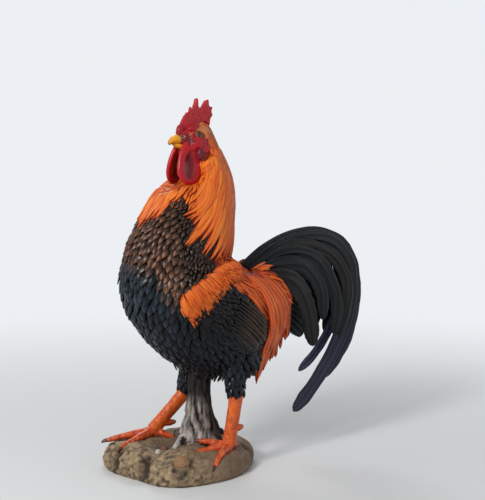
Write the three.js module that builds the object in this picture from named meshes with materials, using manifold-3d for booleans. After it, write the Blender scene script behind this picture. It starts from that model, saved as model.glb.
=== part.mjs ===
// Rooster garden figure: hollow resin castings, painted, standing on a cast rock beside a stump.
// A steel spine rod joins rock, stump, body and head, and a steel rod stiffens each leg.
// Millimetres, +Z up. The bird faces -X, so its left side is -Y.
// The origin is the middle of the rock's flat underside.

import * as THREE from "three";
import { mergeVertices } from "three/addons/utils/BufferGeometryUtils.js";
import Module from "manifold-3d";

const wasm = await Module();
wasm.setup();

// Fits
const GLUE_GAP = 0.3; // between castings that are glued together
const ROD_CLEARANCE = 0.3; // all round a rod in its bore
const SLIVER = 0.05; // creases flatter than this are not kept
const LEFT = -1;
const RIGHT = 1;
const SIDES = [["left", LEFT], ["right", RIGHT]];

// Rock base
// Rim of the rock, at even steps round it from +X
const ROCK_RADII = [108, 109, 105, 100, 97, 100, 109, 101, 84, 78, 86, 88, 84, 86, 91, 98];
// Rings of the rock from the underside up: share of the rim, share of the height
const ROCK_LEVELS = [
  [0.95, 0], [0.995, 0.12], [0.995, 0.36], [0.95, 0.62], [0.84, 0.82], [0.6, 0.95], [0.25, 1],
];
const ROCK_HEIGHT = 36; // at the crown, where the stump stands
const ROCK_FALL = 8; // how far the top drops from the right rim to the left

// Body: its datum stands over the rock's crown, and the stations are measured from that datum
const BODY_X = 38;
const BODY_RISE = 169; // datum above the rock's crown
const BODY_WALL = 7;
const BODY_STATIONS = [
  { x: -118, top: 62, bottom: 50, half: 6 },
  { x: -113, top: 82, bottom: 26, half: 26 },
  { x: -100, top: 102, bottom: -4, half: 47 },
  { x: -77, top: 115, bottom: -33, half: 63 },
  { x: -46, top: 113, bottom: -59, half: 73 },
  { x: -12, top: 98, bottom: -74, half: 77 },
  { x: 22, top: 81, bottom: -77, half: 75 },
  { x: 54, top: 69, bottom: -72, half: 67 },
  { x: 84, top: 60, bottom: -54, half: 53 },
  { x: 104, top: 48, bottom: -30, half: 37 },
  { x: 116, top: 30, bottom: -4, half: 18 },
  { x: 120, top: 18, bottom: 8, half: 5 },
];

// Neck cape: level sections, from the one sunk in the body up to the nape, in heights from the head's datum
const NECK_WALL = 7;
const NECK_STATIONS = [
  { z: -196, x: -43, long: 60, half: 50 },
  { z: -162, x: -40, long: 70, half: 63 },
  { z: -137, x: -35, long: 67, half: 62 },
  { z: -107, x: -26, long: 61, half: 57 },
  { z: -77, x: -18, long: 53, half: 50 },
  { z: -47, x: -13, long: 44, half: 40 },
  { z: -22, x: -12, long: 30, half: 29 },
  { z: -4, x: -8, long: 20, half: 20 },
  { z: 10, x: -4, long: 11, half: 11 },
  { z: 15, x: -3, long: 4, half: 4 },
];

// Head: its datum is measured from the body's, and the head looks a little to its left
const HEAD_X = -17;
const HEAD_Z = 242;
const HEAD_TURN_DEG = 11;
const SKULL_STATIONS = [
  { x: -25, top: 0, bottom: -15, half: 8 },
  { x: -17, top: 6, bottom: -21, half: 15 },
  { x: -5, top: 12, bottom: -25, half: 20 },
  { x: 8, top: 14, bottom: -25, half: 21.5 },
  { x: 19, top: 9, bottom: -20, half: 17 },
  { x: 27, top: 0, bottom: -10, half: 6 },
];
const EYE_RADIUS = 6;
const EYE_X = -5;
const EYE_Z = -3;
const EYE_STANDS_OUT = 2.2; // beyond the skull
const COMB_THICKNESS = 7;
const COMB_EDGE = 1.8; // rounding of its rim
const COMB_OUTLINE = [
  [-23, -6], [-24, 3], [-20, 12], [-15, 22], [-10.5, 27], [-7.5, 29], [-5.5, 35.5], [-3.5, 32], [-1, 34],
  [3, 46], [6.5, 46.5], [7.5, 35], [11, 33], [18.5, 43.5], [23.5, 46], [25, 36], [30.5, 35.5], [28.5, 29],
  [30.5, 25], [26, 19], [23, 8], [14, 2], [0, 0], [-12, -6],
];
const UPPER_BEAK_LENGTH = 23.5;
const LOWER_BEAK_LENGTH = 16;
const BEAK_ROOT_X = -17;
const BEAK_ROOT_Z = -8.5;
const BEAK_DEPTH = 6.8; // half-height of the upper beak at its root
const BEAK_WIDTH = 8; // half-width at the root
const UPPER_BEAK_BEND = [[0.35, 0], [0.75, 0.3], [1, 0.9]]; // share of the length, droop in depths
const LOWER_BEAK_BEND = [[0.5, 0], [1, -0.2]];
const LOWER_BEAK_WIDTH = 6.6; // half
const LOWER_BEAK_DEPTH = 5; // half
const WATTLE_LENGTH = 57;
const WATTLE_WIDTH = 17; // half
const WATTLE_THICKNESS = 5; // half
const WATTLE_SPREAD = 12.5; // from the middle of the head
const WATTLE_ROOT = 6; // how far it starts inside the jaw
const WATTLE_BEND = 0.4; // where it hangs straight, as a share of its length
const WATTLE_ROUND = 0.3; // share of its length that is rounded off at the end
const LOBE_RADIUS = 11; // half-height
const LOBE_WIDTH = 7.2; // half, front to back
const LOBE_THICKNESS = 6; // half
const LOBE_SUNK = 4.2; // its middle lies this far inside the cape
const LOBE_X = -9;
const LOBE_Z = -29;
const THROAT_HALF_WIDTH = 37; // the cape parts this wide to let the wattles hang
const THROAT_REACH = 39; // from the front of the throat back to its wall
const THROAT_LEAN = 16; // how far its lower end comes forward
const THROAT_CLEARANCE = 6; // behind the wattles

// Plumage in relief: locks of the hackle on the cape, and rows of breast feathers below them
// Lower edge of the hackle: degrees round the neck from the front, height from the head's datum
const HACKLE_EDGE = [[0, -130], [44, -86], [57, -96], [70, -130], [91, -150], [123, -156], [180, -156]];
const LOCK_LENGTH = 62;
const LOCK_HALF_WIDTH = 11;
const LOCK_HALF_THICKNESS = 3.3;
const LOCK_POINT = 0.6; // share of its length that narrows to its tip
const LOCK_SWEEP_DEG = 26; // how far back round the neck it starts
const LOCK_SUNK = 2; // its root, below the cape
const LOCK_STEP_DEG = 26;
const LAST_LOCK_DEG = 167; // past this the locks of the two sides would cross at the nape
const LOCK_TIER_RISE = 36;
const LOCK_TIERS = 3;
const HIGHEST_LOCK = -44; // where the topmost locks start
const BREAST_FEATHER_STEP = 25;
const BREAST_FEATHER_ROW = 23;
const BREAST_FEATHER_HALF_LENGTH = 16;
const BREAST_FEATHER_HALF_WIDTH = 11.5;
const BREAST_FEATHER_HALF_THICKNESS = 4.6;
const BREAST_FEATHER_SIDES = 6; // of its thickest section, between its two points
const BREAST_FEATHER_TILT_DEG = 7; // its tip stands out
const BREAST_FEATHER_WAY = [0.55, 0, -1]; // they point down and back
const BREAST_ROWS = 7;
const FIRST_BREAST_ROW = -104; // from the body's datum
const BREAST_UP_TO = 0.62; // share of the body's half-height, above which other pieces cover it
const BREAST_MIDDLE = [-30, 0, 60]; // inside both the body and the cape, from the body's datum
const CAPE_ROWS = [-158, -139, -120, -101]; // of breast feathers under the cape, from the head's datum
const CAPE_FEATHER_STEP_DEG = 21;
const CAPE_FEATHERS_IN_ROW = 5; // on each side, before those under the hackle are left out

// Wing: a slab that follows the body's flank, with the shoulder plumes standing prouder
const WING_THICKNESS = 6;
const SHOULDER_THICKNESS = 9;
const WING_OUTLINE = [
  [-36, 30], [-16, 49], [12, 53], [32, 38], [46, 16], [62, -16], [56, -38], [28, -46], [-8, -38], [-34, -8],
];
const SHOULDER_OUTLINE = [
  [22, 76], [-14, 68], [-43, 55], [-63, 42], [-70, 30], [-64, 14], [-53, 8], [-40, 18], [-18, 40], [14, 56],
  [28, 60],
];

// Saddle plumes: points are measured from the body's datum, standing off the flank by out
const SADDLE_HALF_WIDTH = 13;
const SADDLE_HALF_THICKNESS = 5;
const SADDLE_POINT = 0.4; // share of a plume's length that narrows to its tip
const SADDLE_PLUMES = [
  [[12, 74, 0], [44, 52, 2], [62, 22, 4], [68, -14, 4], [64, -52, 8], [54, -95, 40]],
  [[24, 70, 0], [56, 50, 2], [77, 18, 4], [86, -16, 4], [84, -44, 8], [76, -67, 36]],
  [[36, 68, 0], [68, 48, 2], [89, 16, 4], [99, -14, 6], [99, -42, 16], [93, -66, 30]],
  [[48, 64, 0], [80, 46, 2], [101, 20, 5], [111, -8, 10], [109, -44, 26]],
  [[54, 64, 0], [86, 52, 3], [106, 33, 6], [114, 11, 14]],
  [[56, 67, 0], [82, 61, 3], [103, 44, 9]],
];

// Tail: every feather leaves the root, and the fan fills the middle
const TAIL_FAN_THICKNESS = 9;
const TAIL_FAN_OUTLINE = [
  [46, 50], [66, 68], [98, 84], [130, 80], [150, 52], [156, 10], [149, -42], [128, -31], [112, -12], [100, 2],
  [84, 18],
];
const TAIL_PIN_RADIUS = 4;
const TAIL_PIN_LENGTH = 46;
const TAIL_PIN_X = 78; // its middle
const TAIL_PIN_Z = 46;
const TAIL_PIN_SLOPE_DEG = 32;
const FEATHER_HALF_THICKNESS = 2.6;
const FEATHER_POINT = 0.16; // share of a feather's length that is rounded off
const FEATHER_NARROWS = 0.25; // from its root to its tip
const MAIN_SICKLE = {
  width: 14.5,
  spread: [6, 10, 15, 16, 14],
  path: [
    [58, 58], [100, 83], [150, 97], [192, 89], [217, 61], [222, 22], [213, -22], [193, -64], [163, -107],
    [129, -144],
  ],
};
const SECOND_SICKLE = {
  width: 14,
  spread: [2, 4, 7, 9, 9],
  path: [
    [56, 60], [94, 84], [140, 99], [188, 98], [220, 75], [233, 38], [231, -6], [217, -52], [185, -102],
  ],
};
const FIRST_LESSER_SICKLE = {
  width: 12,
  spread: [8, 14, 20, 21.5, 20],
  path: [[60, 56], [103, 81], [135, 89], [168, 83], [193, 68], [208, 45], [213, 20], [210, -8], [200, -40]],
};
const SECOND_LESSER_SICKLE = {
  width: 13.5,
  spread: [10, 19, 26, 27, 26],
  path: [[62, 55], [84, 68], [116, 80], [151, 74], [177, 47], [192, 4], [188, -38]],
};
const THIRD_LESSER_SICKLE = {
  width: 13,
  spread: [14, 24, 31, 32.5, 31],
  path: [[66, 52], [96, 64], [128, 64], [150, 48], [164, 20], [167, -15]],
};
const TAIL_COVERT = {
  width: 16,
  spread: [18, 28, 35, 37, 37],
  path: [[72, 46], [98, 50], [119, 41], [133, 18], [142, -14], [147, -49]],
};
const RIGHT_SICKLE_LIFT = 50; // the right main sickle curls up this much more at its tip

// Legs: each ankle is measured from the rock's crown, and the hock from the body's datum
const SHANK_DEPTH = 9.5; // half, front to back
const SHANK_BREADTH = 7.5; // half, side to side
const SHANK_FLARE = 0.18; // how much thicker it is at the ankle, and the share of its length that takes
const SHANK_WAIST = 0.14; // how much thinner it is half-way
const SHANK_IN_THIGH = 7;
const LEG_ROD_RADIUS = 2.5;
const LEG_ROD_IN_ROCK = 16;
const LEG_ROD_IN_THIGH = 18;
const TOE_RADIUS = 6;
const SPUR_LENGTH = 17;
const SPUR_RADIUS = 5;
const CLAW_SHARE = 0.22; // of a toe's length
const KNUCKLE_SHARE = 0.55; // where a toe bends, along its length
const LEGS = [
  {
    name: "left", ankle: [50, -44, 0], hock: [23, -44, -103], hip: [22, -40, -42], spur: 0.34,
    toes: [[-54, 4, -5], [-40, 21, 7], [-38, -32, -20], [24, 8, -2]],
  },
  {
    name: "right", ankle: [-21, 46, 8], hock: [-9, 44, -111], hip: [4, 38, -46], spur: 0.2,
    toes: [[-66, 22, -12], [-61, -22, -14], [-44, 36, -14], [28, -18, -10]],
  },
];
const THIGH_TOP_RADIUS = 27;
const THIGH_END_RADIUS = 12.5;
const THIGH_PAST_HOCK = 2;

// Stump
const STUMP_OFFSET = -9; // ahead of the body's datum
const STUMP_WAIST_RADIUS = 18;
const STUMP_TOP_RADIUS = 21;
const STUMP_FOOT_RADIUS = 24;
const STUMP_IN_ROCK = 8;
const ROOT_RADIUS = 7;
const ROOT_REACH = 40;
const ROOT_START = 26; // where a root leaves the trunk, above the rock
const ROOT_BEND = 8; // its height at half reach
const ROOT_SUNK = 3; // its end, below the rock's crown
const ROOT_ANGLES_DEG = [20, 118, 200, 292];

// Spine rod and its fastenings, an M8 stud with wide washers
const SPINE_OFFSET = -6; // ahead of the body's datum
const SPINE_RADIUS = 4;
const SPINE_IN_HEAD = 16;
const NUT_ACROSS_FLATS = 13;
const NUT_HEIGHT = 6.5;
const WASHER_RADIUS = 11;
const WASHER_THICKNESS = 2;
const COUNTERBORE_CLEARANCE = 1.5;
const ROD_STANDS_BELOW_NUT = 1.5;
const BOSS_HEIGHT = 12; // of the flat seat inside the body

// Places that several pieces share
const BODY_Z = ROCK_HEIGHT + BODY_RISE;
const COUNTERBORE_DEPTH = NUT_HEIGHT + WASHER_THICKNESS + 2 * GLUE_GAP + 2 * ROD_STANDS_BELOW_NUT;
const LEAST_RING = 1; // a loft's end rings that would be smaller than this are left off
const FINE_STEPS = 120; // for looking a place up along a loft
const OUTLINE_POINTS = 30; // round a rounded outline
const SURFACE_STEP = 4; // millimetres or degrees, for the slope of a surface
const UP = new THREE.Vector3(0, 0, 1);
const ACROSS = new THREE.Vector3(0, 1, 0);

// Solids: closed geometries become manifolds, and cut results become geometries again
function solidOf(geometry) {
  const bare = geometry.clone();
  bare.deleteAttribute("normal");
  bare.deleteAttribute("uv");
  const merged = mergeVertices(bare, 1e-4);
  const triVerts = new Uint32Array(merged.index.array);
  const vertProperties = new Float32Array(merged.attributes.position.array);
  return new wasm.Manifold(new wasm.Mesh({ numProp: 3, vertProperties, triVerts }));
}

function geometryOf(solid) {
  const mesh = solid.getMesh();
  const geometry = new THREE.BufferGeometry();
  geometry.setAttribute("position", new THREE.BufferAttribute(new Float32Array(mesh.vertProperties), 3));
  geometry.setIndex(new THREE.BufferAttribute(new Uint32Array(mesh.triVerts), 1));
  geometry.computeVertexNormals();
  return geometry;
}

const cut = (solid, ...tools) => tools.reduce((left, tool) => left.subtract(tool), solid);
const join = (first, ...others) => others.reduce((all, other) => all.add(other), first);

// The largest body of a cut, without the slivers that the cut leaves behind
function main(solid) {
  const bodies = solid.decompose();
  return bodies.reduce((best, body) => (body.volume() > best.volume() ? body : best));
}

// Rings of points, each the same length, skinned and closed by a fan at both ends
function skin(rings) {
  const count = rings[0].length;
  const points = rings.flat();
  const centre = (ring) => ring.reduce((sum, p) => sum.add(p), new THREE.Vector3()).divideScalar(count);
  points.push(centre(rings[0]), centre(rings[rings.length - 1]));
  const index = [];
  const last = (rings.length - 1) * count;
  for (let i = 0; i < count; i++) {
    const next = (i + 1) % count;
    index.push(points.length - 2, next, i);
    index.push(points.length - 1, last + i, last + next);
    for (let k = 0; k < rings.length - 1; k++) {
      const low = k * count;
      const high = low + count;
      index.push(low + i, low + next, high + next);
      index.push(low + i, high + next, high + i);
    }
  }
  const geometry = new THREE.BufferGeometry().setFromPoints(points);
  geometry.setIndex(index);
  const solid = solidOf(geometry);
  if (solid.volume() > 0) return solid;
  geometry.setIndex(index.reverse());
  return solidOf(geometry);
}

// A ring of an ellipse with half-axes along two directions
function ellipse(centre, alongU, alongV, sides) {
  const ring = [];
  for (let i = 0; i < sides; i++) {
    const angle = (2 * Math.PI * i) / sides;
    const point = centre.clone().addScaledVector(alongU, Math.cos(angle));
    ring.push(point.addScaledVector(alongV, Math.sin(angle)));
  }
  return ring;
}

// Stations with steps added between them on a smooth curve, for every value that they hold
function smooth(stations, steps) {
  const keys = Object.keys(stations[0]);
  const curves = {};
  for (const key of keys) {
    const points = stations.map((s, i) => new THREE.Vector2(i, s[key]));
    curves[key] = new THREE.SplineCurve(points);
  }
  const made = [];
  for (let i = 0; i <= steps; i++) {
    const station = {};
    for (const key of keys) station[key] = curves[key].getPoint(i / steps).y;
    made.push(station);
  }
  return made;
}

// Loft of upright sections along X, grown or shrunk all round, about a datum
function loftAlongX(stations, datum, grow, steps, sides) {
  const tall = (s) => (s.top - s.bottom) / 2;
  const kept = smooth(stations, steps).filter((s) => Math.min(s.half, tall(s)) + grow > LEAST_RING);
  const rings = kept.map((s, i) => {
    const end = i === 0 ? -1 : i === kept.length - 1 ? 1 : 0;
    const centre = new THREE.Vector3(s.x + end * grow, 0, (s.top + s.bottom) / 2).add(datum);
    const across = ACROSS.clone().multiplyScalar(s.half + grow);
    return ellipse(centre, across, UP.clone().multiplyScalar(tall(s) + grow), sides);
  });
  return skin(rings);
}

// Loft of level sections up Z, grown or shrunk all round, about a datum
function loftUpZ(stations, datum, grow, steps, sides) {
  const kept = smooth(stations, steps).filter((s) => Math.min(s.half, s.long) + grow > LEAST_RING);
  const rings = kept.map((s, i) => {
    const end = i === 0 ? -1 : i === kept.length - 1 ? 1 : 0;
    const centre = new THREE.Vector3(s.x, 0, s.z + end * grow).add(datum);
    const forward = new THREE.Vector3(s.long + grow, 0, 0);
    return ellipse(centre, forward, ACROSS.clone().multiplyScalar(s.half + grow), sides);
  });
  return skin(rings);
}

// Sweep of an ellipse along a smooth path; half(t) gives [width, thickness], and flat is the thin way
function sweep(path, flat, half, grow, steps, sides) {
  const curve = new THREE.CatmullRomCurve3(path, false, "centripetal");
  const rings = [];
  for (let i = 0; i <= steps; i++) {
    const t = i / steps;
    const along = curve.getTangentAt(t);
    const end = i === 0 ? -1 : i === steps ? 1 : 0;
    const centre = curve.getPointAt(t).addScaledVector(along, end * grow);
    const thin = flat.clone().addScaledVector(along, -flat.dot(along)).normalize();
    const wide = along.clone().cross(thin);
    const [width, thickness] = half(t);
    wide.multiplyScalar(width + grow);
    thin.multiplyScalar(thickness + grow);
    rings.push(ellipse(centre, wide, thin, sides));
  }
  return skin(rings);
}

// Round bar between two points
function bar(from, to, radius, sides = 12) {
  const way = to.clone().sub(from);
  const geometry = new THREE.CylinderGeometry(radius, radius, way.length(), sides);
  geometry.translate(0, way.length() / 2, 0);
  geometry.applyQuaternion(new THREE.Quaternion().setFromUnitVectors(ACROSS, way.normalize()));
  geometry.translate(from.x, from.y, from.z);
  return solidOf(geometry);
}

// Outline in the XZ plane, rounded through its points, extruded across Y between two places
function slab(outline, datum, from, to, grow = 0) {
  const curve = new THREE.CatmullRomCurve3(outline.map(([x, z]) => new THREE.Vector3(x, z, 0)), true);
  const rim = curve.getPoints(OUTLINE_POINTS).slice(0, -1);
  const out = THREE.ShapeUtils.isClockWise(rim) ? -grow : grow;
  const pushed = rim.map((p, i) => {
    const along = rim[(i + 1) % rim.length].clone().sub(rim.at(i - 1)).normalize();
    return new THREE.Vector2(p.x + out * along.y, p.y - out * along.x);
  });
  const shape = new THREE.Shape(pushed);
  const geometry = new THREE.ExtrudeGeometry(shape, { depth: to - from, bevelEnabled: false, steps: 1 });
  geometry.rotateX(Math.PI / 2);
  geometry.translate(datum.x, datum.y + to, datum.z);
  return solidOf(geometry);
}

// Body and neck
const bodyDatum = new THREE.Vector3(BODY_X, 0, BODY_Z);
const neckDatum = new THREE.Vector3(BODY_X, 0, BODY_Z + HEAD_Z);
const bodySolid = (grow = 0, steps = 16, sides = 22) =>
  loftAlongX(BODY_STATIONS, bodyDatum, grow, steps, sides);
const neckSolid = (grow = 0, steps = 13, sides = 20) =>
  loftUpZ(NECK_STATIONS, neckDatum, grow, steps, sides);
const bodyCutter = bodySolid(GLUE_GAP);
const breastMiddle = new THREE.Vector3(...BREAST_MIDDLE).add(bodyDatum);

// The station nearest to a place, out of the smoothed ones
function stationAt(stations, key, place) {
  const rows = smooth(stations, FINE_STEPS);
  return rows.reduce((best, s) => (Math.abs(s[key] - place) < Math.abs(best[key] - place) ? s : best));
}

// The body's section at a distance from its datum: middle height, half-height and half-width
function bodySection(x) {
  const row = stationAt(BODY_STATIONS, "x", x);
  return { middle: (row.top + row.bottom) / 2, tall: (row.top - row.bottom) / 2, half: row.half };
}

// A point standing off the body's flank, from a place measured from the body's datum
function flank(side, x, z, out) {
  const s = bodySection(x);
  const rise = Math.min(1, Math.abs(z - s.middle) / s.tall);
  const y = s.half * Math.sqrt(1 - rise * rise) + out;
  return new THREE.Vector3(x, side * y, z).add(bodyDatum);
}

// Plumage in relief
const radians = THREE.MathUtils.degToRad;

// A point of the cape's outside, from a height above the head's datum and a turn from the front
const onCape = (side) => (z, turn, out = 0) => {
  const s = stationAt(NECK_STATIONS, "z", z);
  const forward = (s.long + out) * Math.cos(radians(turn));
  return new THREE.Vector3(s.x - forward, side * (s.half + out) * Math.sin(radians(turn)), z).add(neckDatum);
};

// A point of the body's outside, from a distance along it and a turn from its side, up being positive
const onBody = (side) => (x, turn) => {
  const s = bodySection(x);
  const y = side * s.half * Math.cos(radians(turn));
  return new THREE.Vector3(x, y, s.middle + s.tall * Math.sin(radians(turn))).add(bodyDatum);
};

// The outward direction of a surface, away from the middle of the bird
function outward(at, u, v) {
  const alongU = at(u + SURFACE_STEP, v).sub(at(u - SURFACE_STEP, v));
  const alongV = at(u, v + SURFACE_STEP).sub(at(u, v - SURFACE_STEP));
  const normal = alongU.cross(alongV).normalize();
  return normal.dot(at(u, v).sub(breastMiddle)) < 0 ? normal.negate() : normal;
}

// The height of the hackle's lower edge at a turn from the front
function hackleEdge(turn) {
  const next = HACKLE_EDGE.findIndex(([angle]) => angle >= turn);
  const [[angle0, z0], [angle1, z1]] = [HACKLE_EDGE[Math.max(0, next - 1)], HACKLE_EDGE[next]];
  return angle1 === angle0 ? z1 : z0 + ((z1 - z0) * (turn - angle0)) / (angle1 - angle0);
}

function lock(side, turn, low, grow) {
  const high = Math.min(low + LOCK_LENGTH, HIGHEST_LOCK);
  const path = [0, 0.35, 0.7, 1].map((share) => {
    const back = LOCK_SWEEP_DEG * (1 - share ** 2);
    return onCape(side)(high + (low - high) * share, turn + back, LOCK_SUNK * (share - 1));
  });
  const half = (t) => {
    const blade = Math.min(1, 0.6 + t) * roundEnd(t, LOCK_POINT, 0.02);
    return [LOCK_HALF_WIDTH * blade, LOCK_HALF_THICKNESS * (0.4 + 0.6 * blade)];
  };
  const flat = outward(onCape(side), (high + low) / 2, turn + LOCK_SWEEP_DEG / 2);
  return sweep(path, flat, half, grow, 4, 6);
}

function hackleLocks(grow) {
  const locks = [];
  for (let tier = 0; tier < LOCK_TIERS; tier++) {
    const first = LOCK_STEP_DEG * (tier % 2 ? 1 : 0.5);
    for (let turn = first; turn < LAST_LOCK_DEG; turn += LOCK_STEP_DEG) {
      const low = hackleEdge(turn) + LOCK_TIER_RISE * tier;
      if (HIGHEST_LOCK - low < LOCK_TIER_RISE) continue;
      locks.push(lock(LEFT, turn, low, grow), lock(RIGHT, turn, low, grow));
    }
  }
  return locks;
}

// A leaf-shaped feather lying on a surface, its tip standing out
function breastFeather(at, u, v, grow = 0) {
  const normal = outward(at, u, v);
  const down = new THREE.Vector3(...BREAST_FEATHER_WAY);
  const flow = down.addScaledVector(normal, -down.dot(normal)).normalize();
  const tilt = radians(BREAST_FEATHER_TILT_DEG);
  const along = flow.clone().multiplyScalar(Math.cos(tilt)).addScaledVector(normal, Math.sin(tilt));
  const thick = normal.clone().multiplyScalar(Math.cos(tilt)).addScaledVector(flow, -Math.sin(tilt));
  const geometry = new THREE.SphereGeometry(1, BREAST_FEATHER_SIDES, 2);
  geometry.scale(
    BREAST_FEATHER_HALF_WIDTH + grow, BREAST_FEATHER_HALF_LENGTH + grow, BREAST_FEATHER_HALF_THICKNESS + grow,
  );
  const wide = along.clone().cross(thick);
  geometry.applyMatrix4(new THREE.Matrix4().makeBasis(wide, along, thick).setPosition(at(u, v)));
  return solidOf(geometry);
}

function bodyFeathers() {
  const feathers = [];
  for (let row = 0; row < BREAST_ROWS; row++) {
    const x = FIRST_BREAST_ROW + BREAST_FEATHER_ROW * row;
    const { tall, half } = bodySection(x);
    const step = (360 * BREAST_FEATHER_STEP) / (Math.PI * (tall + half));
    const highest = THREE.MathUtils.radToDeg(Math.asin(BREAST_UP_TO));
    for (let turn = -90 + (row % 2 ? step / 2 : 0); turn < highest; turn += step) {
      const sides = turn === -90 ? [LEFT] : [LEFT, RIGHT];
      feathers.push(...sides.map((side) => breastFeather(onBody(side), x, turn)));
    }
  }
  return feathers;
}

function capeFeathers(grow) {
  const feathers = [];
  CAPE_ROWS.forEach((z, row) => {
    for (let k = 0; k < CAPE_FEATHERS_IN_ROW; k++) {
      const turn = CAPE_FEATHER_STEP_DEG * (k + (row % 2) / 2);
      if (z + BREAST_FEATHER_HALF_LENGTH > hackleEdge(turn)) continue;
      const sides = turn === 0 ? [LEFT] : [LEFT, RIGHT];
      feathers.push(...sides.map((side) => breastFeather(onCape(side), z, turn, grow)));
    }
  });
  return feathers;
}

const capeSolid = (grow = 0) => join(neckSolid(grow), ...hackleLocks(grow), ...capeFeathers(grow));

// Spine rod, from the rock's underside to the inside of the head
const lowestOfBody = Math.min(...smooth(BODY_STATIONS, FINE_STEPS).map((s) => s.bottom));
const floorOfBody = BODY_Z + lowestOfBody + BODY_WALL;
const bossTop = floorOfBody + BOSS_HEIGHT;
const spineAt = (z) => new THREE.Vector3(BODY_X + SPINE_OFFSET, 0, z);
const headDatum = new THREE.Vector3(BODY_X + HEAD_X, 0, BODY_Z + HEAD_Z);
const skullFloor = headDatum.z + Math.min(...SKULL_STATIONS.map((s) => s.bottom));
const spineTop = skullFloor + SPINE_IN_HEAD;
const spineBottom = ROD_STANDS_BELOW_NUT;
const spineRod = bar(spineAt(spineBottom), spineAt(spineTop), SPINE_RADIUS);
const spineBore = bar(spineAt(0), spineAt(spineTop + GLUE_GAP), SPINE_RADIUS + ROD_CLEARANCE);

function nut(z) {
  const circumradius = NUT_ACROSS_FLATS / Math.sqrt(3);
  return cut(bar(spineAt(z), spineAt(z + NUT_HEIGHT), circumradius, 6), spineBore);
}

const washer = (z) => cut(bar(spineAt(z), spineAt(z + WASHER_THICKNESS), WASHER_RADIUS, 20), spineBore);

// Head and what is set into it, before the head is turned
function turned(solid) {
  const about = new THREE.Matrix4().makeTranslation(headDatum);
  about.multiply(new THREE.Matrix4().makeRotationZ(THREE.MathUtils.degToRad(HEAD_TURN_DEG)));
  return solidOf(geometryOf(solid).applyMatrix4(about));
}

const ORIGIN = new THREE.Vector3();
const skull = (grow = 0) => loftAlongX(SKULL_STATIONS, ORIGIN, grow, 8, 14);

const skullHalfWidth = (x) => stationAt(SKULL_STATIONS, "x", x).half;
const neckHalfWidth = (z) => stationAt(NECK_STATIONS, "z", z).half;

function ball(centre, radii, grow, across = 12, up = 8) {
  const geometry = new THREE.SphereGeometry(1, across, up);
  geometry.rotateX(Math.PI / 2);
  geometry.scale(radii.x + grow, radii.y + grow, radii.z + grow);
  geometry.translate(centre.x, centre.y, centre.z);
  return solidOf(geometry);
}

function eye(side, grow = 0) {
  const y = side * (skullHalfWidth(EYE_X) + EYE_STANDS_OUT - EYE_RADIUS);
  const round = new THREE.Vector3(EYE_RADIUS, EYE_RADIUS, EYE_RADIUS);
  return ball(new THREE.Vector3(EYE_X, y, EYE_Z), round, grow);
}

function comb() {
  const shape = new THREE.Shape(COMB_OUTLINE.map(([x, z]) => new THREE.Vector2(x, z)));
  const depth = COMB_THICKNESS - 2 * COMB_EDGE;
  const geometry = new THREE.ExtrudeGeometry(shape, {
    depth, steps: 1, bevelEnabled: true, bevelThickness: COMB_EDGE, bevelSegments: 2,
    bevelSize: COMB_EDGE / 2, bevelOffset: -COMB_EDGE / 2,
  });
  geometry.rotateX(Math.PI / 2);
  geometry.translate(0, depth / 2, 0);
  return solidOf(geometry);
}

// Tapers from full size at the root to a rounded point
const taper = (t, end = 0.12) => end + (1 - end) * Math.sqrt(Math.max(0, 1 - t ** 1.7));

// Full size along its length, rounded off over the last share of it, down to a least size squared
function roundEnd(t, share, least) {
  const past = Math.max(0, (t - 1 + share) / share);
  return Math.sqrt(Math.max(least, 1 - past ** 2));
}

// A beak's middle line, rooted inside the skull
function beakPath(z, length, bend) {
  const root = new THREE.Vector3(BEAK_ROOT_X + BEAK_DEPTH, 0, z);
  const outer = bend.map(([share, droop]) => [BEAK_ROOT_X - length * share, z - BEAK_DEPTH * droop]);
  return [root, ...outer.map(([x, low]) => new THREE.Vector3(x, 0, low))];
}

function upperBeak(grow = 0) {
  const path = beakPath(BEAK_ROOT_Z, UPPER_BEAK_LENGTH, UPPER_BEAK_BEND);
  return sweep(path, UP, (t) => [BEAK_WIDTH * taper(t), BEAK_DEPTH * taper(t)], grow, 7, 12);
}

function lowerBeak(grow = 0) {
  const path = beakPath(BEAK_ROOT_Z - BEAK_DEPTH, LOWER_BEAK_LENGTH, LOWER_BEAK_BEND);
  return sweep(path, UP, (t) => [LOWER_BEAK_WIDTH * taper(t), LOWER_BEAK_DEPTH * taper(t)], grow, 6, 12);
}

function wattle(side, grow = 0) {
  const top = BEAK_ROOT_Z - BEAK_DEPTH;
  const path = [
    new THREE.Vector3(BEAK_ROOT_X + WATTLE_ROOT, side * WATTLE_SPREAD * 0.75, top + WATTLE_ROOT),
    new THREE.Vector3(BEAK_ROOT_X + 1, side * WATTLE_SPREAD, top - WATTLE_LENGTH * WATTLE_BEND),
    new THREE.Vector3(BEAK_ROOT_X - 1, side * WATTLE_SPREAD * 1.05, top + WATTLE_ROOT - WATTLE_LENGTH),
  ];
  const half = (t) => {
    const swell = 0.45 + 0.55 * Math.sin(Math.PI * Math.min(1, 0.12 + 0.62 * t));
    const round = roundEnd(t, WATTLE_ROUND, 0.01);
    return [WATTLE_WIDTH * swell * round, WATTLE_THICKNESS * (0.7 + 0.3 * t) * Math.max(0.25, round)];
  };
  return sweep(path, ACROSS, half, grow, 9, 12);
}

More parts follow.
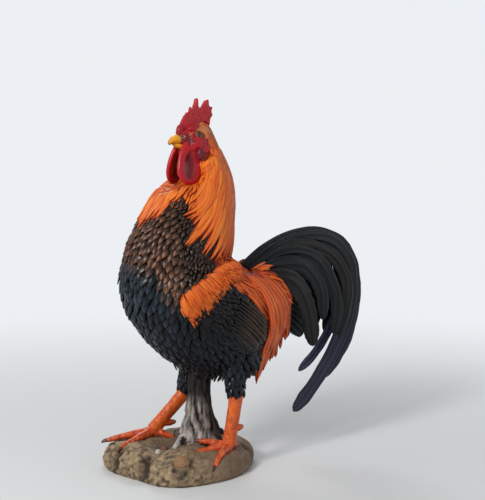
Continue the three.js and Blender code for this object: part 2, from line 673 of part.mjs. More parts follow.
// The hollow at the front of the cape that both wattles hang in
function throat(grow = 0) {
  const front = BEAK_ROOT_X + WATTLE_WIDTH + THROAT_CLEARANCE - THROAT_REACH;
  const top = BEAK_ROOT_Z - BEAK_DEPTH;
  const low = top - WATTLE_LENGTH;
  const path = [
    new THREE.Vector3(front, 0, top + WATTLE_LENGTH * 0.3),
    new THREE.Vector3(front - THROAT_LEAN * 0.2, 0, top - WATTLE_LENGTH * 0.5),
    new THREE.Vector3(front - THROAT_LEAN, 0, low - grow),
  ];
  const shape = (t) => [THROAT_REACH + grow, THROAT_HALF_WIDTH * (1 - 0.25 * t * t) + grow];
  return sweep(path, ACROSS, shape, 0, 5, 14);
}

function earLobe(side, grow = 0) {
  const radii = new THREE.Vector3(LOBE_WIDTH, LOBE_THICKNESS, LOBE_RADIUS);
  const y = side * (neckHalfWidth(LOBE_Z) - LOBE_SUNK);
  return ball(new THREE.Vector3(LOBE_X, y, LOBE_Z), radii, grow, 12, 8);
}

const pieces = [];
const add = (name, solid, material) => pieces.push({ name, solid: main(solid.simplify(SLIVER)), material });

// Legs
const crown = new THREE.Vector3(0, 0, ROCK_HEIGHT);
const place = (offset, datum) => new THREE.Vector3(...offset).add(datum);

function legPoints(leg) {
  const ankle = place(leg.ankle, crown);
  const hock = place(leg.hock, bodyDatum);
  return { ankle, hock, hip: place(leg.hip, bodyDatum), rise: hock.clone().sub(ankle).normalize() };
}

function legSolid(leg, grow = 0) {
  const { ankle, hock, rise } = legPoints(leg);
  const top = hock.clone().addScaledVector(rise, SHANK_IN_THIGH);
  const shankHalf = (t) => {
    const foot = SHANK_FLARE * Math.max(0, 1 - t / SHANK_FLARE);
    const waist = SHANK_WAIST * Math.sin(Math.PI * Math.min(1, t / 0.8));
    return [SHANK_DEPTH * (1 + foot - waist), SHANK_BREADTH * (1 + foot - waist)];
  };
  const shank = sweep([ankle, ankle.clone().lerp(top, 0.5), top], ACROSS, shankHalf, grow, 6, 10);
  const toes = leg.toes.map((reach) => {
    const tip = ankle.clone().add(new THREE.Vector3(...reach));
    const knuckle = ankle.clone().lerp(tip, KNUCKLE_SHARE);
    knuckle.z += TOE_RADIUS * 0.45;
    const half = (t) => {
      const knob = 1 + 0.12 * Math.sin(Math.PI * 4 * t) * (1 - t);
      const claw = 1 - 0.72 * Math.max(0, (t - 1 + CLAW_SHARE) / CLAW_SHARE);
      const radius = TOE_RADIUS * (1 - 0.25 * t) * knob * claw;
      return [radius, radius];
    };
    return sweep([ankle, knuckle, tip], UP, half, grow, 6, 7);
  });
  const spurRoot = ankle.clone().lerp(hock, leg.spur);
  const spurTip = spurRoot.clone().add(new THREE.Vector3(SPUR_LENGTH + SHANK_DEPTH, 0, SPUR_LENGTH * 0.1));
  const spurHalf = (t) => [SPUR_RADIUS * taper(t, 0.25), SPUR_RADIUS * taper(t, 0.25)];
  const spur = sweep([spurRoot, spurRoot.clone().lerp(spurTip, 0.5), spurTip], UP, spurHalf, grow, 4, 7);
  return join(shank, spur, ...toes);
}

function legRod(leg, grow = 0) {
  const { ankle, hock, rise } = legPoints(leg);
  const from = ankle.clone().addScaledVector(rise, -LEG_ROD_IN_ROCK - grow);
  const to = hock.clone().addScaledVector(rise, LEG_ROD_IN_THIGH + grow);
  return bar(from, to, LEG_ROD_RADIUS + grow, 8);
}

function thighSolid(leg, grow = 0) {
  const { hock, hip, rise } = legPoints(leg);
  const end = hock.clone().addScaledVector(rise, -THIGH_PAST_HOCK);
  const half = (t) => {
    const radius = THREE.MathUtils.lerp(THIGH_TOP_RADIUS, THIGH_END_RADIUS, t ** 0.8);
    return [radius, radius * 0.86];
  };
  return sweep([hip, hip.clone().lerp(hock, 0.55), end], ACROSS, half, grow, 6, 12);
}

// Stump and rock
const stumpAt = (z) => new THREE.Vector3(BODY_X + STUMP_OFFSET, 0, z);

function stumpSolid(grow = 0) {
  const foot = ROCK_HEIGHT - STUMP_IN_ROCK;
  const top = BODY_Z;
  const path = [foot, foot + (top - foot) * 0.3, foot + (top - foot) * 0.6, top].map(stumpAt);
  const half = (t) => {
    const flare = (STUMP_FOOT_RADIUS - STUMP_WAIST_RADIUS) * Math.max(0, 1 - t / 0.28) ** 1.5;
    const crownFlare = (STUMP_TOP_RADIUS - STUMP_WAIST_RADIUS) * Math.min(1, Math.max(0, (t - 0.25) / 0.35));
    const radius = STUMP_WAIST_RADIUS + flare + crownFlare;
    return [radius, radius * 0.92];
  };
  const trunk = sweep(path, ACROSS, half, grow, 8, 14);
  const roots = ROOT_ANGLES_DEG.map((degrees) => {
    const angle = THREE.MathUtils.degToRad(degrees);
    const out = new THREE.Vector3(Math.cos(angle), Math.sin(angle), 0);
    const at = (reach, z) => stumpAt(ROCK_HEIGHT + z).addScaledVector(out, reach);
    const rootPath = [at(ROOT_RADIUS, ROOT_START), at(ROOT_REACH / 2, ROOT_BEND), at(ROOT_REACH, -ROOT_SUNK)];
    return sweep(rootPath, UP, (t) => [ROOT_RADIUS * taper(t, 0.3), ROOT_RADIUS * taper(t, 0.3)], grow, 4, 7);
  });
  return join(trunk, ...roots);
}

function rockSolid() {
  const edge = new THREE.CatmullRomCurve3(
    ROCK_RADII.map((radius, i) => {
      const angle = (2 * Math.PI * i) / ROCK_RADII.length;
      return new THREE.Vector3(radius * Math.cos(angle), radius * Math.sin(angle), 0);
    }),
    true,
  );
  const plan = edge.getPoints(2 * ROCK_RADII.length).slice(0, -1);
  const breadth = 2 * Math.max(...ROCK_RADII);
  const rings = ROCK_LEVELS.map(([share, height]) =>
    plan.map(({ x, y }) => {
      const fall = (ROCK_FALL * height * y * share) / breadth;
      return new THREE.Vector3(x * share, y * share, ROCK_HEIGHT * height + fall);
    }),
  );
  return skin(rings);
}

// Wing, shoulder and saddle
const farOut = 200; // past the widest flank
const sideSlab = (outline, side, grow = 0) =>
  slab(outline, bodyDatum, side === LEFT ? -farOut : 1, side === LEFT ? -1 : farOut, grow);

function saddleSolid(side, grow = 0) {
  const plumes = SADDLE_PLUMES.map((plume) => {
    const path = plume.map(([x, z, out]) => flank(side, x, z, out));
    const half = (t) => {
      const blade = Math.min(1, 0.55 + t) * roundEnd(t, SADDLE_POINT, 0.03);
      return [SADDLE_HALF_WIDTH * blade, SADDLE_HALF_THICKNESS * Math.max(0.4, blade)];
    };
    const outward = new THREE.Vector3(0.35, side, 0.1).normalize();
    return sweep(path, outward, half, grow, 7, 6);
  });
  return join(...plumes);
}

// Tail feathers
function feather(spec, side, grow = 0) {
  const spread = new THREE.SplineCurve(spec.spread.map((y, i) => new THREE.Vector2(i, y)));
  const path = spec.path.map(([x, z], i) => {
    const y = spread.getPoint(i / (spec.path.length - 1)).y;
    return new THREE.Vector3(x, side * y, z).add(bodyDatum);
  });
  const half = (t) => {
    const grown = Math.min(1, 0.5 + 1.6 * t);
    const round = roundEnd(t, FEATHER_POINT, 0.04);
    const width = spec.width * grown * round * (1 - FEATHER_NARROWS * t);
    return [width, FEATHER_HALF_THICKNESS * (0.6 + 0.4 * round)];
  };
  return sweep(path, ACROSS, half, grow, 15, 6);
}

const rightMainSickle = {
  ...MAIN_SICKLE,
  path: MAIN_SICKLE.path.map(([x, z], i) => {
    const share = (i / (MAIN_SICKLE.path.length - 1)) ** 3;
    return [x + RIGHT_SICKLE_LIFT * 0.5 * share, z + RIGHT_SICKLE_LIFT * share];
  }),
};

const tailFan = (grow = 0) =>
  slab(TAIL_FAN_OUTLINE, bodyDatum, -TAIL_FAN_THICKNESS / 2 - grow, TAIL_FAN_THICKNESS / 2 + grow);

function tailPin(grow = 0) {
  const slope = THREE.MathUtils.degToRad(TAIL_PIN_SLOPE_DEG);
  const way = new THREE.Vector3(Math.cos(slope), 0, Math.sin(slope));
  const middle = new THREE.Vector3(TAIL_PIN_X, 0, TAIL_PIN_Z).add(bodyDatum);
  const reach = way.multiplyScalar(TAIL_PIN_LENGTH / 2 + grow);
  return bar(middle.clone().sub(reach), middle.clone().add(reach), TAIL_PIN_RADIUS + grow, 12);
}

// Materials
const paint = (color, roughness = 0.45, metalness = 0) =>
  new THREE.MeshStandardMaterial({ color, roughness, metalness });
const BLACK_PLUMAGE = paint(0x1b1613);
const ORANGE_PLUMAGE = paint(0xc4531a);
const TAIL_BLACK = paint(0x141a19, 0.35);
const COMB_RED = paint(0x9c1620, 0.35);
const BEAK_YELLOW = paint(0xd58a1c, 0.35);
const EYE_AMBER = paint(0x3a2412, 0.08);
const LEG_ORANGE = paint(0xcf5420, 0.4);
const BARK = paint(0x5f5550, 0.85);
const STONE = paint(0x8d7657, 0.8);
const STEEL = paint(0xb9bcc0, 0.3, 1);

// Assembly: each casting is cut by its neighbours, grown by the glue gap
const headCutter = turned(skull(GLUE_GAP));
const eyes = SIDES.map(([, side]) => turned(eye(side)));
const eyeCutters = SIDES.map(([, side]) => turned(eye(side, GLUE_GAP)));
const wattleCutters = SIDES.map(([, side]) => turned(wattle(side, GLUE_GAP)));
const legRodBores = LEGS.map((leg) => legRod(leg, ROD_CLEARANCE));
const legCutters = LEGS.map((leg) => legSolid(leg, GLUE_GAP));
const thighCutters = LEGS.map((leg) => thighSolid(leg, GLUE_GAP));
const stumpCutter = stumpSolid(GLUE_GAP);
const pinBore = tailPin(ROD_CLEARANCE);

const counterbore = bar(spineAt(-1), spineAt(COUNTERBORE_DEPTH), WASHER_RADIUS + COUNTERBORE_CLEARANCE, 24);
add("rock_base", cut(rockSolid(), ...legCutters, stumpCutter, ...legRodBores, spineBore, counterbore), STONE);
add("stump", cut(stumpSolid(), bodyCutter, ...thighCutters, ...legCutters, ...legRodBores, spineBore), BARK);

const seat = bar(spineAt(BODY_Z - BODY_RISE), spineAt(bossTop), WASHER_RADIUS + COUNTERBORE_CLEARANCE, 24);
const hollow = cut(bodySolid(-BODY_WALL, 11, 12), seat);
const throatHollow = turned(throat());
const aroundFace = [turned(throat(NECK_WALL)), turned(skull(NECK_WALL))];
const neckHollow = main(cut(neckSolid(-NECK_WALL, 9, 12), ...aroundFace));
const neckCutter = capeSolid(GLUE_GAP);
const saddleCutters = SIDES.map(([, side]) => saddleSolid(side, GLUE_GAP));
const outlines = [SHOULDER_OUTLINE, WING_OUTLINE];
const wingCutters = SIDES.flatMap(([, side]) => outlines.map((rim) => sideSlab(rim, side, GLUE_GAP)));
const besideFeathers = [neckCutter, stumpCutter, ...thighCutters, ...saddleCutters, ...wingCutters];
const feathered = join(bodySolid(), cut(join(...bodyFeathers()), ...besideFeathers));
const bodyShell = cut(feathered, hollow, neckHollow, spineBore, pinBore, ...legRodBores);
add("body_shell", bodyShell, BLACK_PLUMAGE);
const faceCutters = [headCutter, ...eyeCutters, ...wattleCutters, throatHollow];
add("neck_cape", cut(capeSolid(), bodyCutter, ...faceCutters, neckHollow, spineBore), ORANGE_PLUMAGE);

add("spine_rod", spineRod, STEEL);
const ceiling = COUNTERBORE_DEPTH - GLUE_GAP;
add("rock_washer", washer(ceiling - WASHER_THICKNESS), STEEL);
add("rock_nut", nut(ceiling - WASHER_THICKNESS - GLUE_GAP - NUT_HEIGHT), STEEL);
add("body_washer", washer(bossTop + GLUE_GAP), STEEL);
add("body_nut", nut(bossTop + 2 * GLUE_GAP + WASHER_THICKNESS), STEEL);

// Head pieces: the skull carries the rest
const upperBeakCutter = turned(upperBeak(GLUE_GAP));
const lowerBeakCutter = turned(lowerBeak(GLUE_GAP));
add("head", cut(turned(skull()), ...eyeCutters, spineBore), COMB_RED);
add("comb", cut(turned(comb()), headCutter, neckCutter, upperBeakCutter), COMB_RED);
add("upper_beak", cut(turned(upperBeak()), headCutter), BEAK_YELLOW);
add("lower_beak", cut(turned(lowerBeak()), headCutter, upperBeakCutter), BEAK_YELLOW);
SIDES.forEach(([name, side], i) => {
  add(`${name}_eye`, eyes[i], EYE_AMBER);
  add(`${name}_wattle`, cut(turned(wattle(side)), headCutter, upperBeakCutter, lowerBeakCutter), COMB_RED);
  const lobe = cut(turned(earLobe(side)), headCutter, neckCutter, wattleCutters[i]);
  add(`${name}_ear_lobe`, lobe, COMB_RED);
});

// Legs and thighs
LEGS.forEach((leg, i) => {
  const otherLeg = legCutters[1 - i];
  add(`${leg.name}_leg_rod`, legRod(leg), STEEL);
  add(`${leg.name}_leg`, cut(legSolid(leg), legRodBores[i], stumpCutter, otherLeg), LEG_ORANGE);
  add(`${leg.name}_thigh`, cut(thighSolid(leg), bodyCutter, legCutters[i], legRodBores[i]), BLACK_PLUMAGE);
});

// Wings, shoulders and saddle plumes
SIDES.forEach(([name, side], i) => {
  const saddleCutter = saddleCutters[i];
  const shoulder = cut(sideSlab(SHOULDER_OUTLINE, side).intersect(bodySolid(SHOULDER_THICKNESS)), bodyCutter);
  const clearOfShoulder = sideSlab(SHOULDER_OUTLINE, side);
  const wing = cut(sideSlab(WING_OUTLINE, side).intersect(bodySolid(WING_THICKNESS)), bodyCutter);
  add(`${name}_shoulder`, cut(shoulder, saddleCutter, neckCutter), ORANGE_PLUMAGE);
  add(`${name}_wing`, cut(wing, saddleCutter, clearOfShoulder, neckCutter, thighCutters[i]), BLACK_PLUMAGE);
  add(`${name}_saddle`, cut(saddleSolid(side), bodyCutter, neckCutter, thighCutters[i]), ORANGE_PLUMAGE);
});

// Tail: the fan first, and then each feather is cut by what lies under it
add("tail_pin", tailPin(), STEEL);
add("tail_fan", cut(tailFan(), bodyCutter, pinBore, ...saddleCutters), TAIL_BLACK);
const underneath = [tailFan(GLUE_GAP), bodyCutter, pinBore, ...saddleCutters];
SIDES.forEach(([name, side]) => {
  const specs = {
    second_sickle: SECOND_SICKLE,
    main_sickle: side === LEFT ? MAIN_SICKLE : rightMainSickle,
    first_lesser_sickle: FIRST_LESSER_SICKLE,
    second_lesser_sickle: SECOND_LESSER_SICKLE,
    third_lesser_sickle: THIRD_LESSER_SICKLE,
    tail_covert: TAIL_COVERT,
  };
  for (const [kind, spec] of Object.entries(specs)) {
    add(`${name}_${kind}`, cut(feather(spec, side), ...underneath), TAIL_BLACK);
    underneath.push(feather(spec, side, GLUE_GAP));
  }
});

const rooster = new THREE.Group();
rooster.name = "rooster";
for (const piece of pieces) {
  const mesh = new THREE.Mesh(geometryOf(piece.solid), piece.material);
  mesh.name = piece.name;
  rooster.add(mesh);
}

export default rooster;
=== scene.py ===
"""Rooster garden figure: feather relief, comb, legs, bark and rock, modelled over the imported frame.

Shapes are worked out in millimetres in the frame's own axes, and turned into metres as each mesh is made.
The bird faces -X, its left side is -Y, and the rock's flat underside is z 0.
"""
import math

import bmesh
import bpy
import numpy as np
from mathutils import Matrix, Vector
from mathutils.bvhtree import BVHTree


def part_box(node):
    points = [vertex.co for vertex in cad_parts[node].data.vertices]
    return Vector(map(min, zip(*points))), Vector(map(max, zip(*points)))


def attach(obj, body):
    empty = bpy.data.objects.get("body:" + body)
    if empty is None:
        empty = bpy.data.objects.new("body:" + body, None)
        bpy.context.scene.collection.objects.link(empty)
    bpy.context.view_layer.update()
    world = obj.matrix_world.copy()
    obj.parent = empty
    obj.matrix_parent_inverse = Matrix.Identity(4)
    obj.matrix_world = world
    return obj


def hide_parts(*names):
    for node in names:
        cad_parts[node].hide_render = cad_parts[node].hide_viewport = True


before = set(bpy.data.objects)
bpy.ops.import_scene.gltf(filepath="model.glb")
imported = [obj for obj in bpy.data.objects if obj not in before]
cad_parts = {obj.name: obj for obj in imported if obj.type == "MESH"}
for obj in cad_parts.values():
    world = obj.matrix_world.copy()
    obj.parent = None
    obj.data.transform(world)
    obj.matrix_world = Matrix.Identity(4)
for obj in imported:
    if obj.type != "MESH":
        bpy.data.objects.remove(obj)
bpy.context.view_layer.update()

MM = 0.001
DATUM = np.array([38.0, 0.0, 205.0])  # of the body
HEAD = np.array([21.0, 0.0, 447.0])  # datum of the head
HEAD_TURN = math.radians(11)
LEFT, RIGHT = -1, 1
SIDES = (("left", LEFT), ("right", RIGHT))
rng = np.random.default_rng(11)

# Camera at the photograph's angle
CAMERA_AZIMUTH = math.radians(-28)
CAMERA_ELEVATION = math.radians(5)
CAMERA_DISTANCE = 1.4
CAMERA_TARGET = Vector((0.094, 0.0, 0.290))
CAMERA_LENS = 74.1

camera = bpy.data.objects.new("camera", bpy.data.cameras.new("camera"))
bpy.context.scene.collection.objects.link(camera)
level = math.cos(CAMERA_ELEVATION)
backward = Vector(
    (math.sin(CAMERA_AZIMUTH) * level, -math.cos(CAMERA_AZIMUTH) * level, math.sin(CAMERA_ELEVATION))
)
camera.location = CAMERA_TARGET + backward * CAMERA_DISTANCE
camera.rotation_euler = (-backward).to_track_quat("-Z", "Y").to_euler()
camera.data.lens = CAMERA_LENS
bpy.context.scene.camera = camera
bpy.context.scene.view_settings.view_transform = "Standard"


# Arrays
def unit(v):
    return v / np.maximum(np.linalg.norm(v, axis=-1, keepdims=True), 1e-9)


def ease(low, high, x):
    """0 below low, 1 above high, smooth between them."""
    t = np.clip((x - low) / (high - low), 0, 1)
    return t * t * (3 - 2 * t)


CURVE_STEPS = 24  # between two given points, before they are evened out


def curve(points, count):
    """Points at even lengths along a smooth curve through the given points."""
    p = np.asarray(points, float)
    padded = np.vstack([2 * p[0] - p[1], p, 2 * p[-1] - p[-2]])
    fine = []
    for a, b, c, d in zip(padded, padded[1:], padded[2:], padded[3:]):
        t = np.linspace(0, 1, CURVE_STEPS, endpoint=False)[:, None]
        cubic = (-a + 3 * b - 3 * c + d) * t**3 + (2 * a - 5 * b + 4 * c - d) * t**2 + (c - a) * t
        fine.append(b + 0.5 * cubic)
    fine = np.vstack(fine + [p[-1:]])
    run = np.concatenate([[0], np.cumsum(np.linalg.norm(np.diff(fine, axis=0), axis=1))])
    wanted = np.linspace(0, run[-1], count)
    return np.stack([np.interp(wanted, run, fine[:, i]) for i in range(fine.shape[1])], axis=1)


def lattice(ix, iy, iz):
    """Repeatable noise from 0 to 1 at whole-number places."""
    n = (ix * 73856093) ^ (iy * 19349663) ^ (iz * 83492791)
    n = (n ^ (n >> 13)) * 1274126177
    return ((n ^ (n >> 16)) & 0xFFFF) / 65535.0


CORNERS = [(x, y, z) for x in (0, 1) for y in (0, 1) for z in (0, 1)]  # of a unit cell


def grain(p, size, octaves=3):
    """Smooth noise from about -1 to 1 at points, whose largest lumps have that size."""
    total, weight, sum_of_weights = 0.0, 1.0, 0.0
    for octave in range(octaves):
        q = p / size * 2**octave + 17.3 * octave
        cell = np.floor(q).astype(np.int64)
        f = q - cell
        f = f * f * (3 - 2 * f)
        value = 0.0
        for corner in CORNERS:
            share = np.prod(np.where(corner, f, 1 - f), axis=-1)
            value = value + share * lattice(*np.moveaxis(cell + np.array(corner), -1, 0))
        total = total + weight * (2 * value - 1)
        sum_of_weights += weight
        weight *= 0.5
    return total / sum_of_weights


def ink(r, g, b):
    """Linear colour of a shade given in 8-bit screen values."""
    c = np.array([r, g, b]) / 255
    return np.where(c <= 0.04045, c / 12.92, ((c + 0.055) / 1.055) ** 2.4)


def blend(a, b, t):
    return a + (b - a) * np.asarray(t)[..., None]


# Paint
BLACK = ink(11, 11, 13)
BLUE_BLACK = ink(29, 38, 48)
BROWN = ink(92, 62, 46)
DARK_BROWN = ink(58, 42, 34)
ORANGE = ink(214, 86, 22)
YELLOW = ink(240, 150, 42)
RUST = ink(150, 52, 24)
DEEP_RUST = ink(112, 40, 22)
BURNT = ink(188, 76, 32)
SADDLE_RED = ink(198, 74, 30)
AMBER = ink(238, 136, 46)
SADDLE_SHADE = ink(136, 46, 24)
SADDLE_LIGHT = ink(210, 86, 32)
GOLD = ink(234, 126, 42)
TAIL_BLACK = ink(10, 12, 14)
TAIL_HIGHLIGHT = ink(30, 40, 42)
TAIL_VIOLET = ink(78, 80, 106)
NAPE = ink(176, 86, 42)
CRIMSON = ink(172, 22, 34)
MAROON = ink(92, 22, 30)
TAN = ink(206, 122, 62)
BEAK = ink(226, 152, 26)
LEG = ink(214, 90, 24)
TOE_RIDGE_HIGHLIGHT = ink(232, 160, 116)
CLAW = ink(100, 66, 48)


def feed(tree, target, sockets):
    """Gives each named socket of a node a value, or links it to another node's output."""
    for name, value in sockets.items():
        if isinstance(value, bpy.types.NodeSocket):
            tree.links.new(value, target.inputs[name])
        else:
            target.inputs[name].default_value = value


def shader_node(tree, kind, sockets, **settings):
    """A new shader node, with its settings made and its sockets filled."""
    made = tree.nodes.new(kind)
    for name, value in settings.items():
        setattr(made, name, value)
    feed(tree, made, sockets)
    return made


def blank(name):
    """A new material, its tree of nodes and its shader."""
    material = bpy.data.materials.new(name)
    material.use_nodes = True
    return material, material.node_tree, material.node_tree.nodes["Principled BSDF"]


GLOSS_SPREAD = 0.1  # how far the streaks take the roughness up and down
COAT_ROUGHNESS = 0.25


def painted(name, rough, streak_scale, streak_depth, bump, specular=0.5, coat=0.0):
    """Satin paint over cast relief: colour from the paint attribute, broken by streaks along the relief."""
    material, tree, shader = blank(name)
    paint = shader_node(tree, "ShaderNodeAttribute", {}, attribute_name="paint")
    lay = shader_node(tree, "ShaderNodeUVMap", {}, uv_map="Lay")
    stretch = shader_node(tree, "ShaderNodeMapping", {
        "Vector": lay.outputs["UV"], "Scale": (*streak_scale, 1),
    })
    noise = shader_node(tree, "ShaderNodeTexNoise", {
        "Vector": stretch.outputs["Vector"], "Scale": 1, "Detail": 3,
    })
    streaks = noise.outputs["Fac"]
    shade = shader_node(tree, "ShaderNodeMapRange", {
        "Value": streaks, "From Min": 0.3, "From Max": 0.7,
        "To Min": 1 - streak_depth, "To Max": 1 + streak_depth,
    })
    colour = shader_node(tree, "ShaderNodeVectorMath", {
        0: paint.outputs["Color"], "Scale": shade.outputs["Result"],
    }, operation="SCALE")
    gloss = shader_node(tree, "ShaderNodeMapRange", {
        "Value": streaks, "To Min": rough - GLOSS_SPREAD, "To Max": rough + GLOSS_SPREAD,
    })
    relief = shader_node(tree, "ShaderNodeBump", {"Height": streaks, "Strength": 1, "Distance": bump * MM})
    feed(tree, shader, {
        "Base Color": colour.outputs["Vector"], "Roughness": gloss.outputs["Result"],
        "Normal": relief.outputs["Normal"], "Specular IOR Level": specular, "Coat Weight": coat,
        "Coat Roughness": COAT_ROUGHNESS,
    })
    return material


# Roughness, streaks across and along a unit of lay, their depth, height of their bump in millimetres
SCALE_PAINT = painted("scale_feather_paint", 0.25, (5, 1.2), 0.2, 0.2, specular=0.2)
PLUME_PAINT = painted("plume_paint", 0.42, (7, 0.5), 0.22, 0.35, specular=0.3)
UNDER_PAINT = painted("under_plumage_paint", 0.55, (3, 3), 0.1, 0.2, specular=0.2)
TAIL_PAINT = painted("tail_paint", 0.25, (7, 0.4), 0.25, 0.3, specular=0.17)
FLESH_PAINT = painted("flesh_paint", 0.26, (4, 4), 0.1, 0.2, specular=0.26)
HORN_PAINT = painted("horn_paint", 0.34, (3, 0.8), 0.12, 0.2, specular=0.4)
LEG_PAINT = painted("leg_paint", 0.4, (4, 4), 0.12, 0.3, specular=0.4)
BARK_PAINT = painted("bark_paint", 0.8, (5, 0.8), 0.3, 1.2, specular=0.25)
ROCK_PAINT = painted("rock_paint", 0.75, (4, 4), 0.25, 1.0, specular=0.3)
EYE_PAINT = painted("eye_paint", 0.15, (3, 3), 0.05, 0.0, coat=0.15)


def steel():
    """Brushed steel for the rods and fastenings inside."""
    material, tree, shader = blank("brushed_steel")
    where = shader_node(tree, "ShaderNodeTexCoord", {})
    stretch = shader_node(tree, "ShaderNodeMapping", {
        "Vector": where.outputs["Object"], "Scale": (900, 900, 60),
    })
    brush = shader_node(tree, "ShaderNodeTexNoise", {"Vector": stretch.outputs["Vector"]}).outputs["Fac"]
    tint = shader_node(tree, "ShaderNodeMix", {
        "Factor": brush, "A": (0.42, 0.43, 0.45, 1), "B": (0.58, 0.59, 0.60, 1),
    }, data_type="RGBA")
    gloss = shader_node(tree, "ShaderNodeMapRange", {"Value": brush, "To Min": 0.25, "To Max": 0.45})
    feed(tree, shader, {
        "Metallic": 1, "Base Color": tint.outputs["Result"], "Roughness": gloss.outputs["Result"],
    })
    return material


# Meshes
LAY_SIZE = 10.0  # millimetres of surface for one unit of the lay that streaks follow


def rows(items, field, kind=np.float32, width=3):
    """A field of all of a mesh's items, one row for each."""
    values = np.empty(len(items) * width, kind)
    items.foreach_get(field, values)
    return values.reshape(-1, width)


def mesh_points(mesh):
    return rows(mesh.vertices, "co").astype(float) / MM


def mesh_normals(mesh):
    return rows(mesh.vertices, "normal").astype(float)


def move_points(mesh, points):
    mesh.vertices.foreach_set("co", (points * MM).astype(np.float32).ravel())
    mesh.update()


def dress(mesh, paint, lay):
    """Gives a mesh its paint by point and its lay by corner."""
    colours = np.ones((len(paint), 4), np.float32)
    colours[:, :3] = paint
    mesh.color_attributes.new("paint", "FLOAT_COLOR", "POINT").data.foreach_set("color", colours.ravel())
    mesh.uv_layers.new(name="Lay").data.foreach_set("uv", lay.astype(np.float32).ravel())
    mesh.shade_smooth()


class Sheaf:
    """Closed shells gathered into one mesh, with paint and a lay for each point."""

    def __init__(self):
        self.points, self.paint, self.lay = [], [], []
        self.quads, self.caps = [], []
        self.count = 0

    def add(self, points, quads, caps, paint, lay):
        self.points.append(points)
        self.paint.append(np.broadcast_to(paint, points.shape))
        self.lay.append(lay)
        self.quads.append(quads + self.count)
        self.caps += [cap + self.count for cap in caps]
        self.count += len(points)

    def make(self, name, material, slot, *nodes):
        mesh = bpy.data.meshes.new(name)
        points = np.concatenate(self.points)
        quads = np.concatenate(self.quads)
        corners = np.concatenate([quads.ravel()] + [cap.ravel() for cap in self.caps])
        sizes = [np.full(len(quads), 4)] + [np.full(len(cap), cap.shape[1]) for cap in self.caps]
        sizes = np.concatenate(sizes)
        mesh.vertices.add(len(points))
        mesh.vertices.foreach_set("co", (points * MM).astype(np.float32).ravel())
        mesh.loops.add(len(corners))
        mesh.loops.foreach_set("vertex_index", corners.astype(np.int32))
        mesh.polygons.add(len(sizes))
        starts = np.concatenate([[0], np.cumsum(sizes)[:-1]])
        mesh.polygons.foreach_set("loop_start", starts.astype(np.int32))
        mesh.update(calc_edges=True)
        mesh.validate()
        dress(mesh, np.concatenate(self.paint), np.concatenate(self.lay)[corners])
        place(name, mesh, material, slot, *nodes)


def place(name, mesh, material, slot, *nodes):
    """Puts a mesh in the scene as a piece of the figure, standing for CAD nodes."""
    mesh.materials.clear()
    mesh.materials.append(material)
    piece = bpy.data.objects.new(name, mesh)
    bpy.context.scene.collection.objects.link(piece)
    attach(piece, "root")
    if nodes:
        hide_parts(*nodes)


def ring_faces(copies, rings, around):
    """Quads round tubes of points, and the two end faces of each tube, for points numbered tube by tube."""
    i = np.arange(rings - 1)[:, None]
    j = np.arange(around)[None]
    nxt = (j + 1) % around
    one = np.stack(
        [i * around + j, (i + 1) * around + j, (i + 1) * around + nxt, i * around + nxt], axis=-1
    ).reshape(-1, 4)
    shift = np.arange(copies)[:, None, None] * rings * around
    quads = (one[None] + shift).reshape(-1, 4)
    first = np.arange(around)[None] + shift[:, 0]
    last = (rings - 1) * around + np.arange(around)[::-1][None] + shift[:, 0]
    return quads, [first, last]


class Skin:
    """A surface that feathers are laid on, in millimetres."""

    def __init__(self, mesh):
        self.points = mesh_points(mesh)
        mesh.calc_loop_triangles()
        self.tris = rows(mesh.loop_triangles, "vertices", np.int32)
        self.tree = BVHTree.FromPolygons(self.points.tolist(), self.tris.tolist())
        corner = self.points[self.tris]
        cross = np.cross(corner[:, 1] - corner[:, 0], corner[:, 2] - corner[:, 0])
        self.area = np.linalg.norm(cross, axis=1) / 2
        normals = np.zeros_like(self.points)
        for k in range(3):
            np.add.at(normals, self.tris[:, k], cross)
        self.normals = unit(normals)

    def settle(self, points):
        """Nearest places on the surface, and the smooth normals there."""
        flat = np.asarray(points, float).reshape(-1, 3)
        found = np.empty_like(flat)
        normal = np.empty_like(flat)
        for k, p in enumerate(flat):
            co, _, index, _ = self.tree.find_nearest(p)
            tri = self.tris[index]
            where = np.array(co)
            weight = 1 / (np.linalg.norm(self.points[tri] - where, axis=1) + 0.2)
            found[k] = where
            normal[k] = weight @ self.normals[tri]
        return found.reshape(np.shape(points)), unit(normal).reshape(np.shape(points))

    def scatter(self, count):
        """Random places over the whole surface, with their normals."""
        tri = self.tris[rng.choice(len(self.tris), count, p=self.area / self.area.sum())]
        r = np.sqrt(rng.random(count))[:, None]
        s = rng.random(count)[:, None]
        weights = np.concatenate([1 - r, r * (1 - s), r * s], axis=1)[..., None]
        return (self.points[tri] * weights).sum(1), unit((self.normals[tri] * weights).sum(1))


